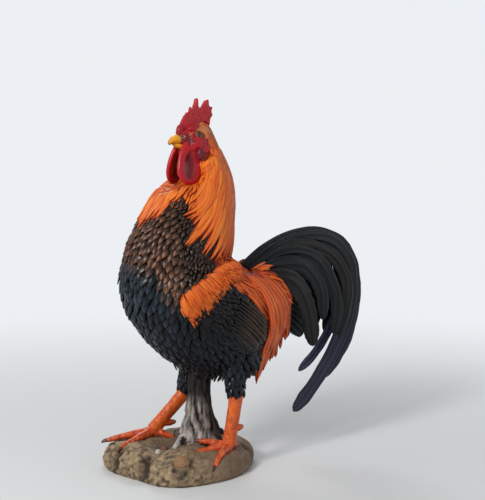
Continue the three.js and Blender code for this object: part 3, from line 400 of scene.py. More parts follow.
def blades(sheaf, spine, normal, half, crown, under, across, profile, paint, surface=None, both=False,
           stand=None):
    """Closed feather shells along spines [k, n, 3], domed over half-widths [k, n] towards their normals."""
    k, n, _ = spine.shape
    along = unit(np.gradient(spine, axis=1))
    side = unit(np.cross(normal, along))
    out = np.cross(along, side)
    v = np.linspace(-1, 1, across)
    u = np.linspace(0, 1, n)
    height = np.broadcast_to(profile(u[:, None], v[None]), (k, n, across))
    base = spine[:, :, None] + (side * half[..., None])[:, :, None] * v[:, None]
    lift = np.broadcast_to(out[:, :, None], base.shape)
    if surface is not None:
        base, lift = surface.settle(base)
    if stand is not None:
        base = base + lift * stand[..., None, None]
    top = base + lift * (height * crown[..., None])[..., None]
    below = height if both else np.broadcast_to(np.sqrt(1 - v**2), height.shape)
    bottom = base - lift * (below * under[..., None])[..., None]
    ring = np.concatenate([top, bottom[:, :, -2:0:-1]], axis=2)
    order = np.concatenate([v, v[-2:0:-1]])
    around = ring.shape[2]
    shade = np.broadcast_to(paint(u[:, None], order[None]), (k, n, around, 3))
    length = np.linalg.norm(np.diff(spine, axis=1), axis=2).sum(1)
    shift = rng.random((k, 1, 1, 2)) * 40
    wide = np.broadcast_to(half.max(axis=1)[:, None, None] * order, (k, n, around))
    run = np.broadcast_to(length[:, None, None] * u[:, None], (k, n, around))
    lay = np.stack([wide, run], axis=-1) / LAY_SIZE + shift
    quads, caps = ring_faces(k, n, around)
    sheaf.add(ring.reshape(-1, 3), quads, caps, shade.reshape(-1, 3), lay.reshape(-1, 2))


def tube(sheaf, spine, radii, around, dent, paint, thin=(0, 0, 1)):
    """Closed tube along a spine [n, 3] with half-axes radii [n, 2], dented by (u, angle, points)."""
    n = len(spine)
    along = unit(np.gradient(spine, axis=0))
    up = np.broadcast_to(np.asarray(thin, float), spine.shape)
    up = unit(up - along * (up * along).sum(1, keepdims=True))
    side = np.cross(up, along)
    angle = np.linspace(0, 2 * math.pi, around, endpoint=False)
    u = np.linspace(0, 1, n)
    outward = unit(
        side[:, None] * (np.cos(angle) / radii[:, :1])[..., None]
        + up[:, None] * (np.sin(angle) / radii[:, 1:])[..., None]
    )
    points = (
        spine[:, None]
        + side[:, None] * (np.cos(angle) * radii[:, :1])[..., None]
        + up[:, None] * (np.sin(angle) * radii[:, 1:])[..., None]
    )
    points = points + outward * dent(u[:, None], angle[None], points)[..., None]
    shade = np.broadcast_to(paint(u[:, None], angle[None], points), points.shape)
    length = np.linalg.norm(np.diff(spine, axis=0), axis=1).sum()
    girth = 2 * math.pi * radii.mean()
    wide = np.broadcast_to(angle / (2 * math.pi) * girth, (n, around))
    run = np.broadcast_to(u[:, None] * length, (n, around))
    lay = np.stack([wide, run], axis=-1)
    quads, caps = ring_faces(1, n, around)
    sheaf.add(points.reshape(-1, 3), quads[:, ::-1], [c[:, ::-1] for c in caps], shade.reshape(-1, 3),
              lay.reshape(-1, 2) / LAY_SIZE)


def pairs(size):
    """Equal half-axes, for a round tube."""
    return np.stack([size, size], axis=1)


def even(u, angle, points):
    return np.zeros(np.broadcast_shapes(np.shape(u), np.shape(angle)))


# Forms taken from the CAD nodes
def node_points(name):
    return mesh_points(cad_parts[name].data)


def hull(points):
    """Closed convex form round points, as a bmesh."""
    bm = bmesh.new()
    for p in points:
        bm.verts.new(p)
    made = bmesh.ops.convex_hull(bm, input=bm.verts)
    bmesh.ops.delete(bm, geom=list({*made["geom_interior"], *made["geom_unused"]}), context="VERTS")
    return bm


def lump(centre, radii, turn=0.0):
    """Closed ellipsoid as a bmesh, for joining into a form."""
    bm = bmesh.new()
    bmesh.ops.create_icosphere(bm, subdivisions=4, radius=1)
    move = Matrix.Translation(Vector(centre)) @ Matrix.Rotation(turn, 4, "Z") @ Matrix.Diagonal((*radii, 1))
    bm.transform(move)
    return bm


def copy_of(name):
    """A CAD node's own form as a bmesh, in millimetres."""
    bm = bmesh.new()
    bm.from_mesh(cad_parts[name].data)
    bm.transform(Matrix.Scale(1 / MM, 4))
    return bm


def joined(forms, voxel, rounds, hollows=()):
    """One skin round closed forms, with hollows taken out, remeshed and smoothed. Returned in metres."""
    def gather(parts, name):
        mesh = bpy.data.meshes.new(name)
        whole = bmesh.new()
        for part in parts:
            part.transform(Matrix.Scale(MM, 4))
            part.to_mesh(mesh)
            whole.from_mesh(mesh)
            part.free()
        whole.to_mesh(mesh)
        whole.free()
        piece = bpy.data.objects.new(name, mesh)
        bpy.context.scene.collection.objects.link(piece)
        return piece

    def remesh(piece):
        step = piece.modifiers.new("remesh", "REMESH")
        step.mode = "VOXEL"
        step.voxel_size = voxel * MM

    body = gather(forms, "join_body")
    remesh(body)
    scratch = [body]
    if hollows:
        tool = gather(hollows, "join_hollow")
        remesh(tool)
        scratch.append(tool)
        cut = body.modifiers.new("cut", "BOOLEAN")
        cut.operation = "DIFFERENCE"
        cut.object = tool
        remesh(body)
    soften = body.modifiers.new("soften", "SMOOTH")
    soften.factor = 0.5
    soften.iterations = rounds
    ready = body.evaluated_get(bpy.context.evaluated_depsgraph_get())
    mesh = bpy.data.meshes.new_from_object(ready)
    for piece in scratch:
        old = piece.data
        bpy.data.objects.remove(piece)
        bpy.data.meshes.remove(old)
    return mesh


def moulded(forms, voxel, rounds):
    """A joined form as a mesh, with its points in millimetres and its normals."""
    mesh = joined(forms, voxel, rounds)
    return mesh, mesh_points(mesh), mesh_normals(mesh)


def finish_form(mesh, name, points, paint, material, slot, *nodes):
    """Gives a joined form its moved points, paint and lay, and puts it in the scene."""
    move_points(mesh, points)
    corners = rows(mesh.loops, "vertex_index", np.int32, 1)[:, 0]
    flat = np.stack([points[:, 0] + 0.7 * points[:, 1], points[:, 2] + 0.5 * points[:, 1]], axis=1) / LAY_SIZE
    dress(mesh, paint, flat[corners])
    place(name, mesh, material, slot, *nodes)


def relax(mesh, mask_of, rounds):
    """Smooths a mesh where a mask from 0 to 1 picks it out."""
    points = mesh_points(mesh)
    ends = rows(mesh.edges, "vertices", np.int32, 2)
    here = np.concatenate([ends[:, 0], ends[:, 1]])
    there = np.concatenate([ends[:, 1], ends[:, 0]])
    near = np.bincount(here, minlength=len(points))[:, None]
    mask = mask_of(points - DATUM)[:, None]
    for _ in range(rounds):
        total = [np.bincount(here, points[there, axis], len(points)) for axis in range(3)]
        points = points + 0.5 * mask * (np.stack(total, axis=1) / near - points)
    move_points(mesh, points)


# Under-skin of the bird
TURN = np.array([
    [math.cos(HEAD_TURN), -math.sin(HEAD_TURN), 0], [math.sin(HEAD_TURN), math.cos(HEAD_TURN), 0], [0, 0, 1],
])


def at_head(points):
    """Places measured from the head's datum, before it turns, as places in the frame."""
    return np.asarray(points, float) @ TURN.T + HEAD


def from_head(points):
    return (points - HEAD) @ TURN


NECK_HEIGHTS = [46, 80, 105, 135, 165, 195, 220, 238, 257]
NECK_MIDDLES = [-43, -40, -35, -26, -18, -13, -12, -8, -3]


def neck_angle(p):
    """Degrees round the neck from the front, the same on both sides, for points from the body's datum."""
    middle = np.interp(p[..., 2], NECK_HEIGHTS, NECK_MIDDLES)
    return np.degrees(np.arctan2(np.abs(p[..., 1]), middle - p[..., 0]))


def throat_edge(p):
    """1 round the rim of the hollow under the head, where the skin is to be soft."""
    return ease(95, 70, neck_angle(p)) * ease(118, 136, p[:, 2]) * ease(222, 205, p[:, 2])


THROAT_CENTRE = (-15, -3, 418)
THROAT_RADII = (35, 36, 45)
SKIN_VOXEL = 2.6
SKIN_SUNK = 4.0  # how far the under-skin lies below the solids, to leave room for the feathers on it
COVERED = [
    "body_shell", "neck_cape", "left_thigh", "right_thigh", "left_wing", "right_wing", "left_shoulder",
    "right_shoulder",
]
forms = [hull(node_points(name)) for name in COVERED]
hollows = [lump(THROAT_CENTRE, THROAT_RADII, HEAD_TURN)]
for y in (LEFT, RIGHT):
    hollows.append(lump(at_head((0, 34 * y, -13)), (22, 14, 21), HEAD_TURN))
    hollows.append(lump(at_head((-21, 25 * y, -54)), (17, 17, 23), HEAD_TURN))
    forms.append(lump(DATUM + (38, 42 * y, -56), (24, 20, 26)))
skin_mesh = joined(forms, SKIN_VOXEL, rounds=8, hollows=hollows)
over = mesh_points(skin_mesh)
sunk = SKIN_SUNK * np.interp(over[:, 2] - DATUM[2], [-110, -75, 100, 160], [0.2, 1, 1, 0.75])
rel = over - DATUM
back = ease(25, 45, rel[:, 0]) * ease(100, 80, rel[:, 0]) * ease(40, 62, rel[:, 2])
behind = ease(85, 125, neck_angle(rel)) * ease(60, 85, rel[:, 2])
sunk = sunk * (1 - 0.75 * behind) + 7.0 * back * (1 - behind)
over = over - mesh_normals(skin_mesh) * sunk[:, None]
move_points(skin_mesh, over)
relax(skin_mesh, throat_edge, rounds=140)
skin = Skin(skin_mesh)

# Where each colour lies: the hackle's lower edge, by angle round the neck from the front
HACKLE_ANGLES = [0, 7, 20, 26, 30, 37, 44, 50, 58, 63, 68, 72, 78, 84, 91, 104, 123, 150, 180]
HACKLE_EDGE = [125, 129, 131, 138, 150, 156, 162, 165, 160, 147, 130, 119, 108, 100, 94, 84, 76, 74, 74]
WING_RIM = [
    (-36, 30), (-16, 42), (0, 44), (13, 39), (22, 29), (31, 22), (38, 8), (50, -9), (62, -19), (56, -38),
    (28, -46), (-8, -38), (-34, -8),
]
SHOULDER_RIM = [
    (22, 76), (-14, 68), (-43, 55), (-63, 42), (-70, 30), (-64, 14), (-53, 8), (-40, 18), (-18, 40), (14, 56),
    (28, 60),
]

FLANK_FROM = 40  # distance from the middle at which the flanks begin
THIGH_TOP = -74


def inside(rim, x, z):
    """Whether places lie inside an outline."""
    found = np.zeros(np.shape(x), bool)
    for (x0, z0), (x1, z1) in zip(rim, rim[1:] + rim[:1]):
        crosses = (z0 > z) != (z1 > z)
        at = x0 + (z - z0) / (z1 - z0 + 1e-12) * (x1 - x0)
        found ^= crosses & (x < at)
    return found


def on_hackle(p):
    return p[..., 2] > np.interp(neck_angle(p), HACKLE_ANGLES, HACKLE_EDGE)


THROAT_LOW = 160
THROAT_ANGLE = 100
FLOOR_TILT = 0.3  # how far up a place looks that counts as floor


def in_throat(p, normals):
    """The hollow under the head, whose floor looks up."""
    return (p[..., 2] > THROAT_LOW) & (normals[..., 2] > FLOOR_TILT) & (neck_angle(p) < THROAT_ANGLE)


def on_throat_wall(p, normals):
    """The upright wall of that hollow, behind the wattles: it faces the hollow's centre."""
    inward = np.array(THROAT_CENTRE) - DATUM - p
    near = np.linalg.norm(inward / np.array(THROAT_RADII), axis=-1) < 1.3
    upright = (normals[..., 2] <= FLOOR_TILT) & (normals[..., 2] > -0.5)
    return near & upright & (np.sum(inward * normals, axis=-1) > 0)


# The line on the flank that the plumes of the back come down to, by distance along the body
BACK_FROM = -14
BACK_TO = [
    (BACK_FROM, 60), (0, 46), (13, 41), (22, 31), (31, 24), (38, 10), (50, -7), (62, -17), (70, -60),
    (120, -60),
]


def on_back(p):
    line = np.interp(p[..., 0], *zip(*BACK_TO))
    return (p[..., 0] > BACK_FROM) & (p[..., 2] > line)


def on_shoulder(p):
    return inside(SHOULDER_RIM, p[..., 0], p[..., 2]) & (np.abs(p[..., 1]) > FLANK_FROM)


def on_wing(p):
    return inside(WING_RIM, p[..., 0], p[..., 2]) & (np.abs(p[..., 1]) > FLANK_FROM)


# The line on the breast that the brown feathers come down to, by distance along the body
BROWN_TO = [
    (-118, 90), (-103, 84), (-93, 68), (-79, 40), (-66, 36), (-60, 40), (-42, 50), (-12, 64), (26, 74),
]


def plumage(p):
    """Colour of the scale feathers at places from the body's datum."""
    line = np.interp(p[..., 0], *zip(*BROWN_TO))
    brownness = ease(-24, 8, p[..., 2] - line + 11 * grain(p + 300, 18))
    brownness = np.where(on_wing(p), 0, brownness)
    fine_patch = ease(-70, -52, p[..., 0])
    warm = blend(BROWN, DARK_BROWN, fine_patch)
    # The blue-black on the front of the breast and, fainter, low on the belly is partly the paint's own blue
    # and partly painted bluish sheen
    blue = np.maximum(ease(-40, -95, p[..., 0]), 0.55 * ease(5, -35, p[..., 2]) * ease(60, 20, p[..., 0]))
    cold = blend(BLACK, BLUE_BLACK, blue)
    return blend(cold, warm, brownness)


HACKLE_TOP_ANGLES = [0, 25, 38, 50, 75, 95, 125, 150, 180]
HACKLE_TOP = [190, 192, 192, 198, 206, 217, 223, 227, 227]

# Skin as a piece: what shows in the gaps between feathers, painted darker than the feathers as painted shade
# in the gaps: 0.3 of the plumage's colour, and a darker orange under the orange feathers
skin_points = skin.points - DATUM
gap_paint = plumage(skin_points) * 0.3
TUCK = np.array([0, 0, 13.0])  # how far the scale feathers run up under the orange ones
gap_paint[on_back(skin_points - TUCK) | on_shoulder(skin_points)] = ink(150, 56, 28)
gap_paint[on_hackle(skin_points - 2 * TUCK)] = ink(168, 62, 28)
gap_paint[in_throat(skin_points, mesh_normals(skin_mesh))] = ink(168, 70, 30)
nape = skin_points[:, 2] - np.interp(neck_angle(skin_points), HACKLE_TOP_ANGLES, HACKLE_TOP)
gap_paint = blend(gap_paint, NAPE * (1 + 0.25 * grain(skin_points, 5))[:, None], ease(-6, 2, nape))
finish_form(skin_mesh, "under_plumage", skin.points, gap_paint, UNDER_PAINT, "black_plumage")


# Scale feathers
def flow_of(p, normal):
    """Direction that feathers point in, along the surface, for places from the body's datum."""
    way = np.zeros_like(p)
    way[..., 0] = np.interp(p[..., 2], [-60, -10, 60, 130], [0.25, 0.0, -0.35, -0.8])
    way[..., 2] = -1
    way[..., 0] += 1.3 * np.maximum(0, -normal[..., 2] - 0.35)
    wing = on_wing(p)
    way[wing] = (0.8, 0, -0.6)
    thigh = p[..., 2] < THIGH_TOP
    way[thigh] = (0, 0, -1)
    way = way - normal * (way * normal).sum(-1, keepdims=True)
    return unit(way)


SHORT_FEATHER = 10.0  # on the wings and the thighs
SHORT_BELOW = -78


def size_of(p):
    """Length of a scale feather at places from the body's datum."""
    size = np.interp(p[..., 2], [-80, -20, 40, 80, 140], [12.5, 15.8, 16.0, 14.2, 12.6])
    line = np.interp(p[..., 0], *zip(*BROWN_TO))
    size = size * (1 - 0.06 * ease(-6, 10, p[..., 2] - line))
    patch = ease(-66, -50, p[..., 0]) * ease(40, 60, p[..., 2])
    size = size * (1 - 0.4 * patch)
    return np.where(on_wing(p) | (p[..., 2] < SHORT_BELOW), SHORT_FEATHER, size)


FEATHER_CELL = 16.0  # side of the cells that places are sorted into, wider than any gap
GAP_ALONG, GAP_ACROSS = 0.55, 0.48  # least gaps between feathers, as shares of their length
CELLS_ROUND = [(x, y, z) for x in (-1, 0, 1) for y in (-1, 0, 1) for z in (-1, 0, 1)]


def near_by(cells, home):
    """Numbers of the places in a cell and in those round it."""
    i, j, k = home
    return [m for x, y, z in CELLS_ROUND for m in cells.get((i + x, j + y, k + z), ())]


def spread(candidates, normals, keep):
    """Thins random places out, so that feathers overlap along their flow and lie side by side across it."""
    rel = candidates - DATUM
    ok = keep(rel, normals)
    rel, normals = rel[ok], normals[ok]
    flow = flow_of(rel, normals)
    size = size_of(rel)
    cells, chosen = {}, []
    for k, p in enumerate(rel):
        home = tuple(np.floor(p / FEATHER_CELL).astype(int))
        gaps = rel[near_by(cells, home)] - p
        along = gaps @ flow[k]
        across = np.maximum(0, (gaps**2).sum(1) - along**2)
        if np.any((along / (GAP_ALONG * size[k])) ** 2 + across / (GAP_ACROSS * size[k]) ** 2 < 1):
            continue
        cells.setdefault(home, []).append(k)
        chosen.append(k)
    chosen = np.array(chosen)
    return rel[chosen], normals[chosen], flow[chosen], size[chosen]


def scale_profile(u, v):
    keel = 0.5 * np.exp(-((v / 0.14) ** 2)) * ease(0.05, 0.35, u)
    return 0.9 * (1 - np.abs(v) ** 2) + 0.7 * keel


SCALE_STEPS, SCALE_ACROSS = 9, 7  # points along and across a scale feather


def scales(name, places, bold, slot, *nodes):
    """Pointed feathers with a keel and a tip lifted off the next one; bold from 0 to 1."""
    rel, normal, flow, size = places
    count = len(rel)
    u = np.linspace(0, 1, SCALE_STEPS)
    length = size * rng.uniform(1.15, 1.35, count)
    half = 0.43 * size * rng.uniform(0.88, 1.1, count)
    side = np.cross(normal, flow)
    flow = unit(flow + side * rng.normal(0, 0.14, (count, 1)))
    facing = unit(normal + side * rng.normal(0, 0.1, (count, 1)))
    start = rel - flow * (0.4 * length)[:, None]
    lift = np.interp(u, [0, 0.45, 1], [-1.6, 0.7, 1.2 + 1.6 * bold])
    buried = on_hackle(rel + 0.4 * TUCK) | on_back(rel)
    curl = rng.uniform(0.75, 1.3, count) * np.where(buried, 0.2, 1)
    spine = (
        start[:, None]
        + flow[:, None] * (length[:, None] * u)[..., None]
        + normal[:, None] * (lift * curl[:, None])[..., None]
    )
    tip = (1 - np.clip((u - 0.45) / 0.55, 0, 0.995) ** 1.6) ** 0.85
    root = np.interp(u, [0, 0.45], [0.65, 1.0])
    width = half[:, None] * tip * root
    crown = np.where(buried, 0.5, 0.9 + 1.0 * bold)[:, None] * (0.35 + 0.65 * tip)
    under = np.full((count, SCALE_STEPS), 0.9) * (0.3 + 0.7 * tip)
    shade = plumage(rel) * rng.uniform(0.55, 1.25, (count, 1))

    # Painted shade and highlight: each feather is painted dark at its root and edges, where the feathers over
    # it shade it, and light along its keel and towards its tip
    def paint(u, v):
        along = np.interp(u, [0, 0.45, 0.8, 1], [0.15, 0.45, 1.25, 1.5])
        keel = 1 + 0.9 * np.exp(-((v / 0.16) ** 2)) * ease(0.3, 0.7, u)
        edge = 1 - 0.75 * ease(0.4, 1, np.abs(v))
        return shade[:, None, None] * ((along * keel * edge) ** (0.4 + 0.6 * bold))[None, ..., None]

    sheaf = Sheaf()
    facing = np.repeat(facing[:, None], SCALE_STEPS, 1)
    blades(sheaf, spine + DATUM, facing, width, crown, under, SCALE_ACROSS, scale_profile, paint)
    sheaf.make(name, SCALE_PAINT, slot, *nodes)


TRIED_PLACES = 34000
candidates, candidate_normals = skin.scatter(TRIED_PLACES)


def bare(p, normals):
    covered = on_shoulder(p) & on_shoulder(p - 0.5 * TUCK)
    return ~(on_hackle(p - 2 * TUCK) | on_back(p - TUCK) | covered | in_throat(p, normals))


def breast_half(side):
    def keep(p, normals):
        return bare(p, normals) & (p[:, 1] * side > 0) & ~on_wing(p) & (p[:, 2] > THIGH_TOP)
    return keep


def thigh_of(side):
    return lambda p, normals: bare(p, normals) & (p[:, 1] * side > 0) & (p[:, 2] <= THIGH_TOP)


def wing_of(side):
    return lambda p, normals: bare(p, normals) & (p[:, 1] * side > 0) & on_wing(p)


for word, side in SIDES:
    for part, keep, bold, nodes in (
        ("breast_feathers", breast_half(side), 1.0, ["body_shell"] if side == LEFT else []),
        ("thigh_feathers", thigh_of(side), 0.5, [f"{word}_thigh"]),
        ("wing_coverts", wing_of(side), 0.35, [f"{word}_wing"]),
    ):
        scales(f"{word}_{part}", spread(candidates, candidate_normals, keep), bold, "black_plumage", *nodes)


# Long feathers laid on the skin
def strand_profile(u, v):
    return np.sqrt(np.clip(1 - v**2, 0, 1))


def streaked(dark, mid, light, mix):
    """Paint of a strand: light along its middle, partly the paint's own streak and partly painted highlight
    on its crest; dark at its edges and root, as painted shade where strands lie under each other.
    """
    def paint(u, v):
        rib = np.exp(-((v / 0.45) ** 2))
        glow = mix[:, None, None] * rib * np.interp(u, [0, 0.3, 0.8, 1], [0.3, 1, 1, 0.5])
        tone = blend(mid[:, None, None], light[:, None, None], np.clip(glow, 0, 1))
        edge = 0.8 * ease(0.5, 1, np.abs(v)) + 0.5 * ease(0.35, 0, u)
        return blend(tone, dark[:, None, None], np.broadcast_to(np.clip(edge, 0, 1), glow.shape))
    return paint


def strands(sheaf, paths, half, crown, colours, steps=16, across=5, surface=None, normals=None, under=1.0,
            sharp=2.2, stand=(-1.0, 0.3, 1.3), lift=0.0):
    """Narrow pointed feathers along paths, laid on a surface or facing given ways."""
    count = len(paths)
    spine = np.stack([curve(path, steps) for path in paths])
    u = np.linspace(0, 1, steps)
    width = np.interp(u, [0, 0.35], [0.6, 1]) * np.clip(1 - u**sharp, 0, 1) ** 0.6 + 0.02
    half = np.broadcast_to(np.reshape(np.asarray(half, float), (-1, 1)), (count, 1)) * width
    if surface is not None:
        spine, normals = surface.settle(spine)
    normals = np.broadcast_to(normals, spine.shape)
    rise = np.interp(u, [0, 0.3, 1], [0.3, 1, 0.5])
    crown = np.broadcast_to(np.reshape(np.asarray(crown, float), (-1, 1)), (count, 1)) * rise
    height = np.interp(u, [0, 0.4, 1], stand) + np.reshape(np.broadcast_to(lift, count), (-1, 1))
    blades(sheaf, spine, normals, half, crown, np.full_like(crown, under), across, strand_profile, colours,
           surface, stand=height)


def walk(start, way_of, length, steps=6):
    """A path over the skin from a place, following a direction worked out at each step."""
    p, normal = skin.settle(np.asarray(start, float)[None])
    path = [p[0]]
    for _ in range(steps - 1):
        way = way_of(path[-1] - DATUM)
        way = way - normal[0] * (way @ normal[0])
        step = unit(way) * length / (steps - 1)
        p, normal = skin.settle((path[-1] + step)[None])
        path.append(p[0])
    return np.array(path)


def thinned(places, gap):
    """Numbers of places that keep at least a gap between them."""
    cells, chosen = {}, []
    for k, p in enumerate(places):
        home = tuple(np.floor(p / gap).astype(int))
        near = near_by(cells, home)
        if near and np.min(np.linalg.norm(places[near] - p, axis=1)) < gap:
            continue
        cells.setdefault(home, []).append(k)
        chosen.append(k)
    return np.array(chosen)


def choice(count, shades):
    """One of several paints for each of count feathers."""
    return np.array(shades)[rng.integers(0, len(shades), count)]


def same(shade, count):
    """One paint for all of count feathers."""
    return np.repeat(shade[None], count, 0)


# Hackle: locks of fine strands from the face down to the cape's lower edge, the lowest locks first
SWEEP_ANGLES = [0, 20, 34, 45, 70, 95, 130, 160, 180]
SWEEP = [2, 6, 14, 36, 36, 28, 14, 4, 0]  # how far round the neck a lock comes forward, in degrees
LOCK_STEP = 9.0
LAYER_RISE = 21
MM_PER_DEGREE = 1.05
SWEEP_HEIGHT = 38
HACKLE_LAYERS = 7
HACKLE_STRANDS = 4  # in a lock
SHORTEST_LOCK = 16
# Locks that reach further forward: degrees, height of the tip, height over which they come forward
FINGERS = [
    (49, 132, 11), (53, 134, 11), (57, 130, 11), (60, 136, 12), (62, 129, 13), (66, 96, 38), (70, 95, 38),
]
THROAT_GAP, THROAT_WALL_GAP = 4.4, 4.0


def on_neck(angle, side, z):
    """A place on the neck by degrees round it from the front and height from the body's datum."""
    middle = np.interp(z, NECK_HEIGHTS, NECK_MIDDLES)
    a = math.radians(angle)
    reach = 120
    outside = DATUM + (middle - reach * math.cos(a), side * reach * math.sin(a), z)
    hit = skin.tree.ray_cast(Vector(outside), Vector((math.cos(a), -side * math.sin(a), 0)))
    return np.array(hit[0]) if hit[0] is not None else DATUM + (middle, 0, z)


def wall(angle, side, z):
    """How far the skin stands out from the neck's middle."""
    p = on_neck(angle, side, z) - DATUM
    return math.hypot(p[0] - np.interp(z, NECK_HEIGHTS, NECK_MIDDLES), p[1])


def draws_in(angle, side, z):
    """Whether the neck is much narrower at a height than a little below it."""
    return wall(angle, side, z) < 0.8 * wall(angle, side, z - 12)


def lock_tips(layer):
    """Degrees round the neck and heights of the tips of a layer of locks, along the cape's lower edge."""
    angles = np.linspace(0, 180, 400)
    heights = np.interp(angles, HACKLE_ANGLES, HACKLE_EDGE)
    run = np.concatenate([[0], np.cumsum(np.hypot(np.diff(angles) * MM_PER_DEGREE, np.diff(heights)))])
    wanted = np.arange(LOCK_STEP * (0.3 + 0.5 * (layer % 2)), run[-1], LOCK_STEP)
    turns = np.interp(wanted, run, angles) + rng.normal(0, 1.2, len(wanted))
    over = np.interp(turns, [0, 40, 50, 80, 95, 180], [7, 7, 1, 1, 2, 3])
    lows = np.interp(wanted, run, heights) + LAYER_RISE * layer - over + rng.normal(0, 2.5, len(wanted))
    tips = [(turn, low, SWEEP_HEIGHT) for turn, low in zip(turns, lows)]
    return tips + FINGERS if layer == 0 else tips


def throat(sheaf, side):
    """Short strands on the floor and the wall of the hollow under the head."""
    rel = candidates - DATUM

    def apart(found, gap):
        places = rel[found & (rel[:, 1] * side > 0)]
        return places[thinned(places, gap)]

    def out(p):
        middle = np.interp(p[2], NECK_HEIGHTS, NECK_MIDDLES)
        return np.array([*unit(np.array([p[0] - middle - 12, p[1]])), -0.25])

    starts = apart(in_throat(rel, candidate_normals), THROAT_GAP)
    paths = [walk(DATUM + p, out, rng.uniform(15, 22)) for p in starts]
    count = len(paths)
    strands(sheaf, paths, rng.uniform(2.0, 2.8, count), 1.4,
            streaked(same(RUST, count), choice(count, [ORANGE, BURNT]), choice(count, [YELLOW]),
                     rng.uniform(0.1, 0.7, count)), steps=12, surface=skin)
    starts = apart(on_throat_wall(rel, candidate_normals), THROAT_WALL_GAP)
    wall_rng = np.random.default_rng(23)
    down = np.array([-0.3, 0, -1.0])
    paths = [walk(DATUM + p, lambda p: down, wall_rng.uniform(13, 19)) for p in starts]
    count = len(paths)
    mid = blend(same(ORANGE, count), BURNT, wall_rng.uniform(0, 1, count))
    strands(sheaf, paths, wall_rng.uniform(1.9, 2.6, count), 1.3,
            streaked(same(RUST, count), mid, same(YELLOW, count), wall_rng.uniform(0.1, 0.6, count)),
            steps=12, surface=skin)


def hackle(word, side):
    sheaf = Sheaf()
    for layer in range(HACKLE_LAYERS):
        paths, turns, lifts, beds = [], [], [], []
        for turn, low, swing in lock_tips(layer):
            sweep = np.interp(turn, SWEEP_ANGLES, SWEEP)
            turned = turn + 0.8 * sweep
            top = np.interp(turned, HACKLE_TOP_ANGLES, HACKLE_TOP) + rng.normal(0, 2)
            high = min(low + rng.uniform(58, 80), top)
            while high - low > SHORTEST_LOCK and draws_in(turned, side, high):
                high -= 3
            if high - low < SHORTEST_LOCK:
                continue
            heights = np.linspace(high, low + 4, 8)
            angles = turn + sweep * (1 - np.exp(-(heights - low) / swing))
            beds.append([on_neck(a, side, z) for a, z in zip(angles, heights)])
            for k in range(HACKLE_STRANDS):
                off = k - (HACKLE_STRANDS - 1) / 2
                across = off * 2.8 + rng.normal(0, 0.5)
                tip = low + 2.4 * abs(off) + rng.uniform(0, 5)
                heights = np.linspace(high, tip, 8)
                share = (heights - tip) / (high - tip)
                angles = turn + sweep * (1 - np.exp(-(heights - low) / swing))
                angles = angles + across * (0.2 + 0.8 * ease(0, 0.6, share))
                paths.append([on_neck(a, side, z) for a, z in zip(angles, heights)])
                turns.append(turn)
                lifts.append(0.6 - 0.3 * abs(off) + rng.normal(0, 0.3))
        if not paths:
            continue
        count = len(paths)
        behind = ease(85, 150, np.array(turns))
        mid = blend(choice(count, [ORANGE, ORANGE, ink(196, 72, 24), ink(222, 104, 28)]), BURNT, behind)
        light = choice(count, [YELLOW, ink(236, 130, 38)])
        dark = blend(same(RUST, count), DEEP_RUST, behind)
        mix = rng.uniform(0.1, 1.0, count) * (1 - 0.6 * behind)
        stand = (-1.0, 0.8, 3.0) if layer == 0 else (-1.0, 0.3, 1.3)
        strands(sheaf, paths, rng.uniform(2.4, 3.2, count), rng.uniform(1.5, 2.2, count),
                streaked(dark, mid, light, mix), surface=skin, stand=stand,
                lift=np.array(lifts) - 1.1 * behind + 0.7 * ease(55, 35, np.array(turns)))
        if layer == 0:
            count = len(beds)
            shade = choice(count, [ink(176, 66, 28), ink(188, 74, 28)])
            strands(sheaf, beds, 6.5, 1.0, streaked(0.8 * shade, shade, shade, np.zeros(count)), surface=skin,
                    across=9, stand=(-1.0, 0.4, 2.2))
    throat(sheaf, side)
    sheaf.make(f"{word}_hackle", PLUME_PAINT, "orange_plumage", "neck_cape")


# Shoulder: fine lancets that hang back from a bar across the flank
BAR = curve([(26, 78), (-12, 70), (-42, 56), (-62, 43), (-69, 29)], 60)
LANCETS, LANCET_ROWS = 66, 4


def shoulder(word, side):
    sheaf = Sheaf()
    for row in range(LANCET_ROWS):
        paths = []
        for k in range(LANCETS):
            t = np.clip((k + rng.uniform(-0.5, 0.5)) / (LANCETS - 1), 0, 1)
            x, z = BAR[int(t * (len(BAR) - 1))]
            front = ease(0.6, 1, t)
            drop = (row + rng.uniform(-0.3, 0.3)) * np.interp(t, [0, 0.5, 1], [2.0, 3.4, 4.4])
            start = Vector(DATUM + (x + 0.45 * drop, side * 110, z - drop))
            hit = skin.tree.ray_cast(start, Vector((0, -side, 0)))
            if hit[0] is None:
                continue
            way = np.array([np.interp(front, [0, 1], [0.66, 0.34]), 0, -1.0])
            curl = np.array([0.25, 0, 0]) * front
            length = rng.uniform(0.85, 1.15) * np.interp(t, [0, 0.5, 0.8, 1], [17, 20, 26, 24])
            paths.append(walk(hit[0], lambda p, w=way + curl: w, length))
        count = len(paths)
        mid = choice(count, [SADDLE_RED, ORANGE, ink(216, 88, 28)])
        light = choice(count, [YELLOW, AMBER])
        dark = same(RUST, count)
        strands(sheaf, paths, rng.uniform(1.4, 2.1, count), rng.uniform(1.2, 1.8, count),
                streaked(dark, mid, light, rng.uniform(0.1, 0.9, count)), steps=12, surface=skin,
                stand=(-1.0, 0.9, 3.4), lift=0.4 * (LANCET_ROWS - 1 - row))
    sheaf.make(f"{word}_shoulder_lancets", PLUME_PAINT, "orange_plumage", f"{word}_shoulder")


